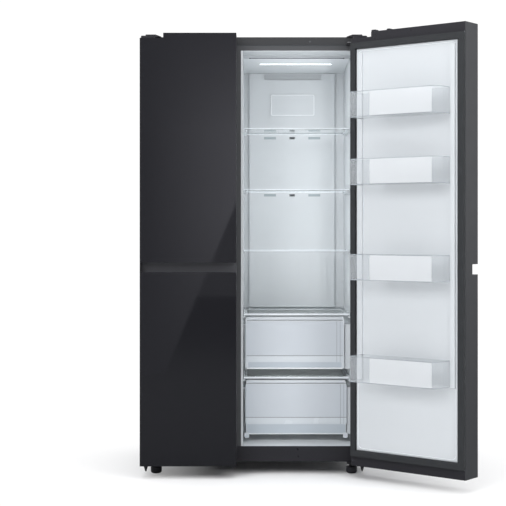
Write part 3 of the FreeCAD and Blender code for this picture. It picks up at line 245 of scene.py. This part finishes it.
def lamp():
    """A lit front edge that fades to a dim face behind it."""
    paint = Paint("lamp_diffuser", (0.95, 0.97, 1.0), 0.4, Emission_Strength=2.6)
    _, y, _ = paint.axes()
    back = y.over(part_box("ceiling_lamp")[0][1] + LAMP_RIM, LAMP_FADE)
    paint.set("Emission Color", paint.tint(back, (0.8, 0.86, 0.9), (0.05, 0.055, 0.06)))
    paint.set("Roughness", paint.noise(60.0, 2.0) * 0.1 + 0.35)
    return paint.material


FINISHES = {
    "dark_steel": dark_paint("dark_steel_paint", (0.055, 0.057, 0.06), (0.067, 0.069, 0.073), 0.42),
    "galvanised": metal("galvanised_sheet", (0.5, 0.51, 0.52), (0.58, 0.59, 0.6), 0.42, 90.0, spangle=True),
    "zinc_steel": metal("zinc_plated_steel", (0.5, 0.49, 0.46), (0.64, 0.62, 0.58), 0.34, 60.0),
    "black_steel": dark_paint("black_enamel", (0.014, 0.014, 0.015), (0.02, 0.02, 0.022), 0.38, 300.0),
    "foam": foam(),
    "white_liner": white_moulding("white_liner", (0.56, 0.59, 0.61), (0.59, 0.615, 0.635)),
    "dark_plastic": grained_plastic("dark_moulding", (0.017, 0.0165, 0.02), (0.023, 0.0225, 0.027), 0.5),
    "handle_grey": grained_plastic("handle_moulding", (0.06, 0.061, 0.067), (0.07, 0.071, 0.078), 0.4, 700.0),
    "black_glass": black_glass(),
    "seal_rubber": rubber(),
    "clear_plastic": clear_plastic("clear_styrene", (0.66, 0.7, 0.73), 0.06, 0.14),
    "frosted_plastic": clear_plastic("frosted_styrene", (0.68, 0.715, 0.75), 0.3, 0.9),
    "shelf_trim": white_moulding("shelf_trim", (0.7, 0.74, 0.775), (0.74, 0.78, 0.81), 0.28),
    "shelf_glass": clear_plastic("shelf_glass", (0.72, 0.8, 0.8), 0.03, 0.16),
    "lamp_white": lamp(),
    "fin_aluminium": metal("fin_aluminium", (0.6, 0.61, 0.62), (0.74, 0.75, 0.76), 0.36, 30.0,
                           stretch=(1.0, 1.0, 8.0)),
    "copper_tube": metal("copper_tube", (0.62, 0.3, 0.17), (0.76, 0.42, 0.26), 0.3, 45.0),
    "grey_plastic": grained_plastic("grey_moulding", (0.25, 0.26, 0.27), (0.3, 0.31, 0.32), 0.55),
}

LOOKS = {
    # painted highlight: a lighter white for rims and edges where light catches them
    "painted_highlight_white": white_moulding("painted_highlight_moulding", (0.78, 0.81, 0.83), (0.83, 0.855, 0.87), 0.3),
    # painted shade: dark grey for lines laid where seams, slots and trim edges fall in shade
    "painted_seam_shade": grained_plastic("seam_shadow", (0.1, 0.11, 0.12), (0.13, 0.14, 0.15), 0.6),
    # painted shade: a deeper dark for narrow gaps that fall in heavy shade
    "painted_deep_shade": grained_plastic("painted_deep_shade", (0.035, 0.04, 0.045), (0.05, 0.056, 0.062), 0.6),
    # painted shade: grey for the shade inside the duct's vent openings
    "painted_vent_shade": grained_plastic("vent_opening_shade_grey", (0.3, 0.35, 0.37), (0.34, 0.39, 0.41), 0.6),
    "blue_band": white_moulding("tinted_band", (0.45, 0.505, 0.55), (0.48, 0.53, 0.575), 0.3),
    "panel_face": white_moulding("drawer_panel", (0.53, 0.57, 0.61), (0.555, 0.59, 0.63), 0.46),
    "pale_band": white_moulding("drawer_band", (0.6, 0.64, 0.675), (0.63, 0.67, 0.7), 0.26),
    # painted shade: grey for the darkening that clear edges show when seen edge-on
    "painted_edge_shade": clear_plastic("painted_edge_shade", (0.36, 0.39, 0.42), 0.1, 0.85),
    "frost": clear_plastic("basket_frost", (0.74, 0.765, 0.785), 0.34, 0.62),
    "stop_grey": grained_plastic("hinge_stop", (0.3, 0.3, 0.32), (0.36, 0.36, 0.38), 0.5),
    "sensor_grey": grained_plastic("sensor_window", (0.09, 0.095, 0.1), (0.11, 0.115, 0.12), 0.4),
    "strip_grey": grained_plastic("top_cover", (0.032, 0.033, 0.035), (0.037, 0.038, 0.04), 0.45),
    "profile_grey": grained_plastic("door_profile", (0.032, 0.033, 0.036), (0.037, 0.038, 0.041), 0.4),
    "edge_black": grained_plastic("door_edge", (0.018, 0.0175, 0.021), (0.022, 0.0215, 0.026), 0.3),
}


def finish(piece, body, slot, look=None):
    """Gives a piece its slot, its finish and the body it rides on."""
    piece.data.materials.clear()
    piece.data.materials.append(LOOKS[look] if look else FINISHES[slot])
    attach(piece, body)
    return piece


OWN_LOOKS = {"bottom_rail": "edge_black", "right_door_caps": "edge_black", "left_door_caps": "edge_black",
             "top_front_cover": "strip_grey", "right_door_profiles": "profile_grey"}
for node_name, node in NODES.items():
    own_look = LOOKS[OWN_LOOKS[node_name]] if node_name in OWN_LOOKS else FINISHES[SLOTS[node_name]]
    node.data.materials.clear()
    node.data.materials.append(own_look)


# ---------------------------------------------------------------- making pieces
def new_piece(name, shape):
    """An object from a bmesh, at the origin, with its place in its mesh."""
    mesh = bpy.data.meshes.new(name)
    shape.normal_update()
    shape.to_mesh(mesh)
    shape.free()
    piece = bpy.data.objects.new(name, mesh)
    bpy.context.scene.collection.objects.link(piece)
    return piece


ORIGIN = at(0.0, 0.0, 0.0)


def place_of(name):
    """A node's lowest and highest corners as at() measures them."""
    return [Vector(corner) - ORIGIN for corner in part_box(name)]


def shut_place_of(name):
    """The same for a node of the right door, swung shut."""
    points = [CLOSED @ vertex.co for vertex in NODES[name].data.vertices]
    return [Vector(pick(axis) for axis in zip(*points)) - ORIGIN for pick in (min, max)]


def made(name, shape, body, slot, look=None):
    """Turns a shape into a piece; one on the right door is modelled shut and swung to its open place."""
    bmesh.ops.remove_doubles(shape, verts=shape.verts, dist=1e-6)
    bmesh.ops.recalc_face_normals(shape, faces=shape.faces)
    if body == "right_door":
        bmesh.ops.transform(shape, matrix=OPENED, verts=shape.verts)
    return finish(new_piece(name, shape), body, slot, look)


def add_bar(shape, low, high, soft):
    """Adds a bar between two corners, its edges softened."""
    verts = bmesh.ops.create_cube(shape, size=1.0)["verts"]
    size = [b - a for a, b in zip(low, high)]
    bmesh.ops.scale(shape, vec=size, verts=verts)
    bmesh.ops.translate(shape, vec=at(*((a + b) / 2 for a, b in zip(low, high))), verts=verts)
    edges = list({edge for vert in verts for edge in vert.link_edges})
    bmesh.ops.bevel(shape, geom=edges, offset=min(soft, min(size) / 3), offset_type="OFFSET", affect="EDGES",
                    segments=2, profile=0.5, material=-1)


def bars(name, body, slot, corners, look, soft):
    """A piece of several bars, each given by its two corners."""
    shape = bmesh.new()
    for low, high in corners:
        add_bar(shape, low, high, soft)
    return made(name, shape, body, slot, look)


def plate(name, body, slot, middle, width, height, thick, radius, rim=0.0, look=None):
    """An upright plate with rounded corners, or only its rim, thick in Y from its middle."""
    shape = bmesh.new()
    corners = [shape.verts.new(at(middle[0] + x * width / 2, middle[1], middle[2] + z * height / 2))
               for x, z in ((-1, -1), (1, -1), (1, 1), (-1, 1))]
    shape.faces.new(corners)
    bmesh.ops.bevel(shape, geom=corners, offset=radius, offset_type="OFFSET", affect="VERTICES", segments=8,
                    profile=0.5, material=-1)
    face = max(shape.faces, key=lambda each: each.calc_area())
    faces = [face]
    if rim:
        faces = bmesh.ops.inset_individual(shape, faces=[face], thickness=rim, use_even_offset=True)["faces"]
        bmesh.ops.delete(shape, geom=[face], context="FACES")
    new = bmesh.ops.extrude_face_region(shape, geom=faces, use_keep_orig=True)["geom"]
    verts = [part for part in new if isinstance(part, bmesh.types.BMVert)]
    bmesh.ops.translate(shape, vec=(0.0, thick, 0.0), verts=verts)
    return made(name, shape, body, slot, look)


def add_ribbon(shape, outline, low, high, thick):
    """Adds an upright strip that follows an outline in plan."""
    verts = [shape.verts.new(at(x, y, low)) for x, y in outline]
    edges = [shape.edges.new(pair) for pair in zip(verts, verts[1:])]
    up = bmesh.ops.extrude_edge_only(shape, edges=edges)["geom"]
    raised = [part for part in up if isinstance(part, bmesh.types.BMVert)]
    bmesh.ops.translate(shape, vec=(0.0, 0.0, high - low), verts=raised)
    faces = [part for part in up if isinstance(part, bmesh.types.BMFace)]
    bmesh.ops.solidify(shape, geom=faces, thickness=thick)


# ---------------------------------------------------------------- door baskets
BASKET_SLANT = (0.018, 0.045)
BASKET_ROUND = 0.009
FROST_SHARE = 0.727
FROST_INSET = 0.0065
FROST_CLEAR = 0.003
FROST_ROUND = 0.002
PROUD = 0.0006
EDGE_OUT, EDGE_IN = 0.0002, 0.0008
LOW_EDGE, TOP_EDGE, UPRIGHT_EDGE = 0.0024, 0.0018, 0.0012


def rounded(outline, radius, steps=6):
    """An open outline in plan with its inner corners turned into arcs."""
    points = [Vector(point) for point in outline]
    smooth = [points[0]]
    for before, corner, after in zip(points, points[1:], points[2:]):
        come, go = (corner - before).normalized(), (after - corner).normalized()
        turn = come.angle(go)
        reach = radius * math.tan(turn / 2)
        inward = (go - come).normalized() * radius / math.cos(turn / 2)
        start, centre = corner - come * reach, corner + inward
        side = 1 if come.cross(go) > 0 else -1
        for step in range(steps + 1):
            angle = side * turn * step / steps
            smooth.append(centre + Matrix.Rotation(angle, 2) @ (start - centre))
    return smooth + [points[-1]]


def basket_trim(name, low, high, body):
    """The frosted middle of a basket's front, and thin grey lines of painted shade along its clear edges."""
    slant_x, slant_y = BASKET_SLANT
    start = low.x + slant_x
    first = start + FROST_INSET
    width = (high.x - start) * FROST_SHARE
    middle = (first + width / 2, high.y, (low.z + high.z) / 2)
    plate(name + "_frost", body, "frosted_plastic", middle, width, high.z - low.z - 2 * FROST_CLEAR, PROUD,
          FROST_ROUND, look="frost")
    outline = rounded([(high.x, low.y), (high.x, high.y), (start, high.y), (low.x, high.y - slant_y),
                       (low.x, low.y)], BASKET_ROUND + 0.001)
    # painted shade: grey ribbons and uprights along the basket's clear edges
    shape = bmesh.new()
    add_ribbon(shape, outline, low.z - EDGE_OUT, low.z + LOW_EDGE, -EDGE_IN)
    add_ribbon(shape, outline, high.z - TOP_EDGE, high.z + EDGE_OUT, -EDGE_IN)
    for y in (low.y + 0.001, high.y - slant_y - BASKET_ROUND / 2):
        add_bar(shape, (low.x - EDGE_OUT, y, low.z + 0.002),
                (low.x + EDGE_IN, y + UPRIGHT_EDGE, high.z - 0.002), 0.0003)
    made(name + "_edges", shape, body, "clear_plastic", look="painted_edge_shade")


for number in range(1, 5):
    basket_low, basket_high = shut_place_of("right_basket_%d" % number)
    basket_trim("right_basket_%d" % number, basket_low, basket_high, "right_door")

LEFT_LOW, LEFT_HIGH = place_of("left_door_baskets")
BASKET_H = basket_high.z - basket_low.z


def left_basket_frost(number, low_z):
    """The frosted middle of a left basket, on the flat part of its front."""
    first = LEFT_HIGH.x - BASKET_SLANT[0] - FROST_INSET
    width = (first - LEFT_LOW.x) * FROST_SHARE
    middle = (first - width / 2, LEFT_HIGH.y, low_z + BASKET_H / 2)
    plate("left_basket_%d_frost" % number, "left_door", "frosted_plastic", middle, width,
          BASKET_H - 2 * FROST_CLEAR, PROUD, FROST_ROUND, look="frost")


for number in range(1, 5):
    left_basket_frost(number, shut_place_of("right_basket_%d" % number)[0].z)


# ---------------------------------------------------------------- crisper drawer fronts
FACE_BACK = 0.003
FACE_SIDE = 0.005
FACE_TOP = 0.018
BAND_ROUND = 0.003
SEAM_H = 0.0016
UPRIGHT_LINES = (0.012, 0.026)


def drawer_face(name, body, floor_z, seam_z, tint_low, tint_high):
    """A frosted panel over a pale and a tinted band, with painted shade lines at the seam between them and a
    painted highlight along its lower edge.
    """
    low, high = place_of(name)
    face = low.y + FACE_BACK
    left, right = low.x + FACE_SIDE, high.x - FACE_SIDE
    middle = (left + right) / 2
    width = right - left
    top = high.z - FACE_TOP
    for part, centre_z, height, wide, look in (
            ("_panel", (seam_z + top) / 2, top - seam_z - 0.002, width, "panel_face"),
            ("_band", (seam_z + tint_high) / 2, seam_z - tint_high - 0.001, width, "pale_band"),
            ("_tint", (tint_low + tint_high) / 2, tint_high - tint_low - 0.001, width - 0.012, "blue_band")):
        plate(name + part, body, "frosted_plastic", (middle, face, centre_z), wide, height, -PROUD,
              BAND_ROUND, look=look)
    # painted highlight: a bright strip along the drawer front's lower edge
    bars(name + "_edge", body, "frosted_plastic",
         [((left, face - 0.0022, floor_z + 0.0005), (right, face, tint_low - 0.0005))], "painted_highlight_white", 0.001)
    # painted shade: dark lines where the drawer face's seams and uprights fall in shade
    seams = (seam_z - SEAM_H / 2, top + 0.003)
    lines = [((left, face - 0.0009, z), (right, face, z + SEAM_H)) for z in seams]
    lines += [((right - x, face - 0.0011, tint_high), (right - x + 0.0009, face, top)) for x in UPRIGHT_LINES]
    bars(name + "_lines", body, "frosted_plastic", lines, "painted_seam_shade", 0.0002)


drawer_face("upper_crisper_front", "upper_drawer", 0.418, 0.473, 0.424, 0.447)
drawer_face("lower_crisper_front", "lower_drawer", 0.1475, 0.2175, 0.152, 0.19)


# ---------------------------------------------------------------- inside the fridge
FILTER_LOW, FILTER_HIGH = place_of("filter_cover")
FILTER_MIDDLE = ((FILTER_LOW.x + FILTER_HIGH.x) / 2, FILTER_LOW.y, (FILTER_LOW.z + FILTER_HIGH.z) / 2)
# painted highlight: a bright rim round the filter cover's rounded edge
plate("filter_cover_rim", "cabinet", "white_liner", FILTER_MIDDLE, FILTER_HIGH.x - FILTER_LOW.x,
      FILTER_HIGH.z - FILTER_LOW.z, -0.001, 0.009, 0.004, "painted_highlight_white")

DUCT_FACE = FILTER_HIGH.y
VENT_ROWS = (1.148, 1.402, 1.437)
VENT_SIDES = ((-0.1325, -0.0795), (0.0645, 0.1175))
VENT_CENTRE = (-0.0195, 0.0045)
VENT_FRONT, VENT_BACK = DUCT_FACE + 0.0006, DUCT_FACE + 0.0016
VENT_SHADE_HALF = 0.0054
SLOT_SHADE_HALF = 0.0012
SLOT_SHADE_STEP = 0.0035
# painted shade: grey patches in the vent openings and dark bars in the slots between them
bars("vent_opening_shade", "cabinet", "white_liner",
     [((FRIDGE_MID + a, VENT_FRONT, z - VENT_SHADE_HALF), (FRIDGE_MID + b, VENT_BACK, z + VENT_SHADE_HALF))
      for z in VENT_ROWS for a, b in VENT_SIDES], "painted_vent_shade", 0.0003)
bars("vent_slot_shade", "cabinet", "white_liner",
     [((FRIDGE_MID + VENT_CENTRE[0], VENT_FRONT, z + lift - SLOT_SHADE_HALF),
       (FRIDGE_MID + VENT_CENTRE[1], VENT_BACK, z + lift + SLOT_SHADE_HALF))
      for z in VENT_ROWS for lift in (-SLOT_SHADE_STEP, 0.0, SLOT_SHADE_STEP)], "painted_seam_shade", 0.0003)

CEILING_FRONT = (0.15, 1.712)
SEAM_ENDS = (-0.017, 0.376)
# painted shade: a dark line where the ceiling's seam falls in shade, darker still at its ends
bars("ceiling_seam", "cabinet", "white_liner",
     [((SEAM_ENDS[0], CEILING_FRONT[0] - 0.0008, CEILING_FRONT[1] - 0.0004),
       (SEAM_ENDS[1], CEILING_FRONT[0], CEILING_FRONT[1] + 0.002))], "painted_seam_shade", 0.0003)
bars("ceiling_seam_ends", "cabinet", "white_liner",
     [((x - 0.0025, CEILING_FRONT[0] - 0.0012, CEILING_FRONT[1] - 0.001),
       (x + 0.0025, CEILING_FRONT[0], CEILING_FRONT[1] + 0.003)) for x in SEAM_ENDS], "painted_deep_shade", 0.0004)

# painted shade: a dark line along the foot of each shelf's front trim
for shelf_name in ("fridge_shelf_1", "fridge_shelf_2", "fridge_shelf_3"):
    shelf_low, shelf_high = place_of(shelf_name)
    bars(shelf_name + "_line", "cabinet", "shelf_trim",
         [((shelf_low.x + 0.002, shelf_low.y - 0.0005, shelf_low.z + 0.0002),
           (shelf_high.x - 0.002, shelf_low.y + 0.0005, shelf_low.z + 0.0014))], "painted_seam_shade", 0.0002)

COVER_LOW, COVER_HIGH = place_of("crisper_covers")
COVER_H = 0.01
# painted shade: dark lines at the crisper covers' front edges
bars("crisper_cover_lines", "cabinet", "shelf_trim",
     [((COVER_LOW.x + 0.002, COVER_LOW.y - 0.0005, z),
       (COVER_HIGH.x - 0.002, COVER_LOW.y + 0.0005, z + 0.0018))
      for z in (COVER_LOW.z + 0.0003, COVER_HIGH.z - COVER_H + 0.0003)], "painted_deep_shade", 0.0003)

# ---------------------------------------------------------------- right door's inner face
SEAL_LOW, SEAL_HIGH = shut_place_of("right_door_gasket")
SEAL_W, ISLAND_EDGE, ISLAND_RISE = 0.024, 0.004, 0.006
LINER_FACE = -DOOR_GAP + ISLAND_RISE
BEAD_INSET = SEAL_W + ISLAND_EDGE + 0.006
SEAL_X, SEAL_Z = (SEAL_LOW.x + SEAL_HIGH.x) / 2, (SEAL_LOW.z + SEAL_HIGH.z) / 2
BEAD_W, BEAD_H = SEAL_HIGH.x - SEAL_LOW.x - 2 * BEAD_INSET, SEAL_HIGH.z - SEAL_LOW.z - 2 * BEAD_INSET
# painted highlight: the raised bead's rim made brighter than the liner
plate("right_liner_bead", "right_door", "white_liner", (SEAL_X, LINER_FACE, SEAL_Z), BEAD_W, BEAD_H, 0.0008,
      0.02, 0.0016, "painted_highlight_white")

# ---------------------------------------------------------------- top of the cabinet's front
COVER_LINE = place_of("top_front_cover")[0].z
SEAM_REACH = HALF - 0.004
# painted shade: a dark line in the gap under the top front cover
bars("top_cover_seam", "cabinet", "dark_plastic",
     [((-SEAM_REACH, -0.0012, COVER_LINE - 0.0016), (SEAM_REACH, 0.0, COVER_LINE + 0.0004))],
     "painted_deep_shade", 0.0003)
SENSOR_PLACE = (0.228, -0.0008, 1.762)
SENSOR_ACROSS, SENSOR_ROUND = 0.006, 0.0029
plate("door_sensor", "cabinet", "dark_plastic", SENSOR_PLACE, SENSOR_ACROSS, SENSOR_ACROSS, -0.0008,
      SENSOR_ROUND, look="sensor_grey")
STOP_X, STOP_HALF, STOP_OUT = 0.3875, 0.0075, 0.006
STOP_LOW, STOP_TOP = 1.75, 1.76
bars("hinge_stops", "cabinet", "dark_plastic",
     [((side * STOP_X - STOP_HALF, -STOP_OUT, STOP_LOW), (side * STOP_X + STOP_HALF, 0.0, STOP_TOP))
      for side in (-1, 1)], "stop_grey", 0.001)


# ---------------------------------------------------------------- studio
FLOOR_REACH = 14.0
CARD_Y = -3.0
CARD_OUTLINE = ((-0.55, 0.1), (0.1, 1.65), (0.1, 3.0), (-1.2, 3.0), (-1.2, 0.1))
GLOW_START, GLOW_FADE = -0.66, 0.54
WHITE = (1.0, 1.0, 1.0, 1.0)
WHITE_POWER = 1.05
SPACE_LIGHT_Y, WALL_LIGHT_Y, GAP_LIGHT_Y, BACK_WALL_Y = 0.13, 0.28, 0.11, 0.6
FREEZER_LIGHTS = (0.48, 0.85, 1.25, 1.55)
DRAWER_GAP_Z, FLOOR_GAP_Z = 0.402, 0.134
FLOOR_NEAR = 0.35
FLOOR_FADE = 0.9
LENS = 93.1
SENSOR_W = 36.0
CAMERA_AT = at(-0.004, -5.331, 1.0052)
HORIZON_SHIFT = -0.0506


def studio_floor():
    """A pale floor, dimmer in reflections so that the black doors stay black."""
    shape = bmesh.new()
    bmesh.ops.create_circle(shape, cap_ends=True, segments=96, radius=FLOOR_REACH)
    floor = new_piece("studio_floor", shape)
    paint = Paint("pale_floor", (0.9, 0.9, 0.9), 0.7)
    grain = paint.tint(paint.noise(3.0, 3.0), (0.885, 0.885, 0.885), (0.9, 0.9, 0.9))
    paint.set("Base Color", grain)
    seen = paint.node("ShaderNodeLightPath", {}, {}, "Is Glossy Ray")
    dark = paint.node("ShaderNodeBsdfDiffuse", {}, {"Color": (0.16, 0.165, 0.17, 1.0)})
    output = next(n for n in paint.tree.nodes if n.type == "OUTPUT_MATERIAL")
    pale = Maths(paint, paint.shader.outputs[0])
    mixed = paint.node("ShaderNodeMixShader", {}, {0: seen, 1: pale, 2: dark})
    x, y, _ = paint.axes()
    far = paint.node("ShaderNodeMath", {"operation": "SQRT"}, [x * x + y * y]).over(FLOOR_NEAR, FLOOR_FADE)
    white = paint.node("ShaderNodeEmission", {}, {"Color": WHITE, "Strength": WHITE_POWER})
    eye = paint.node("ShaderNodeLightPath", {}, {}, "Is Camera Ray")
    whole = paint.node("ShaderNodeMixShader", {}, {0: far * eye, 1: mixed, 2: white})
    paint.tree.links.new(whole.socket, output.inputs["Surface"])
    floor.data.materials.append(paint.material)


def studio_world():
    """White to the eye, and a dim room to the lights' and mirrors' rays, darkest behind the camera."""
    world = bpy.data.worlds.new("studio")
    bpy.context.scene.world = world
    world.use_nodes = True
    tree = world.node_tree
    tree.nodes.clear()

    def node(kind, **settings):
        made = tree.nodes.new(kind)
        for key, value in settings.items():
            setattr(made, key, value)
        return made

    def join(output, socket):
        tree.links.new(output, socket)

    place, split = node("ShaderNodeTexCoord"), node("ShaderNodeSeparateXYZ")
    join(place.outputs["Generated"], split.inputs[0])
    turn = node("ShaderNodeMath", operation="MULTIPLY_ADD")
    join(split.outputs["Y"], turn.inputs[0])
    turn.inputs[1].default_value = 0.5
    turn.inputs[2].default_value = 0.5
    ramp = node("ShaderNodeValToRGB")
    near, far = ramp.color_ramp.elements
    near.position, near.color = 0.0, (0.30, 0.305, 0.33, 1.0)
    far.position, far.color = 1.0, (0.95, 0.96, 0.98, 1.0)
    join(turn.outputs[0], ramp.inputs[0])
    room, white = node("ShaderNodeBackground"), node("ShaderNodeBackground")
    join(ramp.outputs[0], room.inputs["Color"])
    white.inputs["Color"].default_value = WHITE
    white.inputs["Strength"].default_value = WHITE_POWER
    seen, mixed = node("ShaderNodeLightPath"), node("ShaderNodeMixShader")
    output = node("ShaderNodeOutputWorld")
    join(seen.outputs["Is Camera Ray"], mixed.inputs[0])
    join(room.outputs[0], mixed.inputs[1])
    join(white.outputs[0], mixed.inputs[2])
    join(mixed.outputs[0], output.inputs[0])


def softbox(name, place, aim, size, power, glossy=True):
    """A square soft light at a place, turned to face another."""
    lamp_data = bpy.data.lights.new(name, "AREA")
    lamp_data.shape = "RECTANGLE"
    lamp_data.size, lamp_data.size_y = size
    lamp_data.energy = power
    box = bpy.data.objects.new(name, lamp_data)
    bpy.context.scene.collection.objects.link(box)
    box.location = place
    box.rotation_euler = (aim - place).to_track_quat("-Z", "Y").to_euler()
    box.visible_glossy = glossy
    box.visible_camera = False


def camera():
    """A level camera in front of the doors."""
    lens = bpy.data.cameras.new("camera")
    lens.lens, lens.sensor_width, lens.shift_y = LENS, SENSOR_W, HORIZON_SHIFT
    eye = bpy.data.objects.new("camera", lens)
    bpy.context.scene.collection.objects.link(eye)
    eye.location = CAMERA_AT
    eye.rotation_euler = (math.pi / 2, 0.0, 0.0)
    bpy.context.scene.camera = eye


def glow_card():
    """A card that only mirrors see: window light that fades across the black doors to a slanting edge."""
    shape = bmesh.new()
    shape.faces.new([shape.verts.new(at(x, CARD_Y, z)) for x, z in CARD_OUTLINE])
    card = new_piece("glow_card", shape)
    paint = Paint("window_glow", (0.0, 0.0, 0.0), 1.0, Specular_IOR_Level=0.0, Emission_Strength=1.0)
    x, _, z = paint.axes()
    across = (x - CENTRE_X).over(GLOW_START, GLOW_FADE)
    upright = z.over(0.1, 1.0) * (1.0 - z.over(1.6, 0.8))
    paint.set("Emission Color", paint.tint(across * upright, (0.27, 0.275, 0.3), (1.0, 1.0, 1.1)))
    card.data.materials.append(paint.material)
    for kind in ("camera", "diffuse", "shadow", "transmission"):
        setattr(card, "visible_" + kind, False)


def inside_lights():
    """Soft lights between the shelves and the drawers, as the lamp and the white walls give."""

    def facing_back(name, x, y, z, size, power):
        softbox(name, at(x, y, z), at(x, BACK_WALL_Y, z), size, power, glossy=False)

    for low, high in zip(SPACE_EDGES, SPACE_EDGES[1:]):
        middle, height = (low + high) / 2, high - low - 0.05
        facing_back("space_light", FRIDGE_MID, SPACE_LIGHT_Y, middle, (0.36, height), 0.36)
        softbox("wall_light", at(FRIDGE_MID + 0.15, WALL_LIGHT_Y, middle), at(-0.1, WALL_LIGHT_Y, middle),
                (0.3, height), 0.16, glossy=False)
    for middle in FREEZER_LIGHTS:
        facing_back("freezer_light", FREEZER_MID, SPACE_LIGHT_Y, middle, (0.25, 0.25), 0.3)
    softbox("ceiling_light", at(FRIDGE_MID, 0.06, 1.6), at(FRIDGE_MID, 0.07, 1.8), (0.38, 0.1), 0.1,
            glossy=False)
    facing_back("drawer_gap_light", FRIDGE_MID, GAP_LIGHT_Y, DRAWER_GAP_Z, (0.36, 0.02), 0.2)
    facing_back("floor_gap_light", FRIDGE_MID, GAP_LIGHT_Y, FLOOR_GAP_Z, (0.36, 0.015), 0.06)


def studio():
    """The floor, the lights and the camera."""
    studio_floor()
    glow_card()
    inside_lights()
    studio_world()
    middle = at(0.1, 0.2, 0.9)
    softbox("front_softbox", at(-2.6, -4.2, 3.4), middle, (3.0, 2.4), 150.0, glossy=False)
    softbox("right_softbox", at(3.4, -3.4, 2.6), middle, (2.4, 2.4), 90.0, glossy=False)
    softbox("top_softbox", at(0.3, -0.6, 4.2), middle, (3.5, 3.5), 120.0)
    camera()
    bpy.context.scene.view_settings.view_transform = "Standard"


studio()
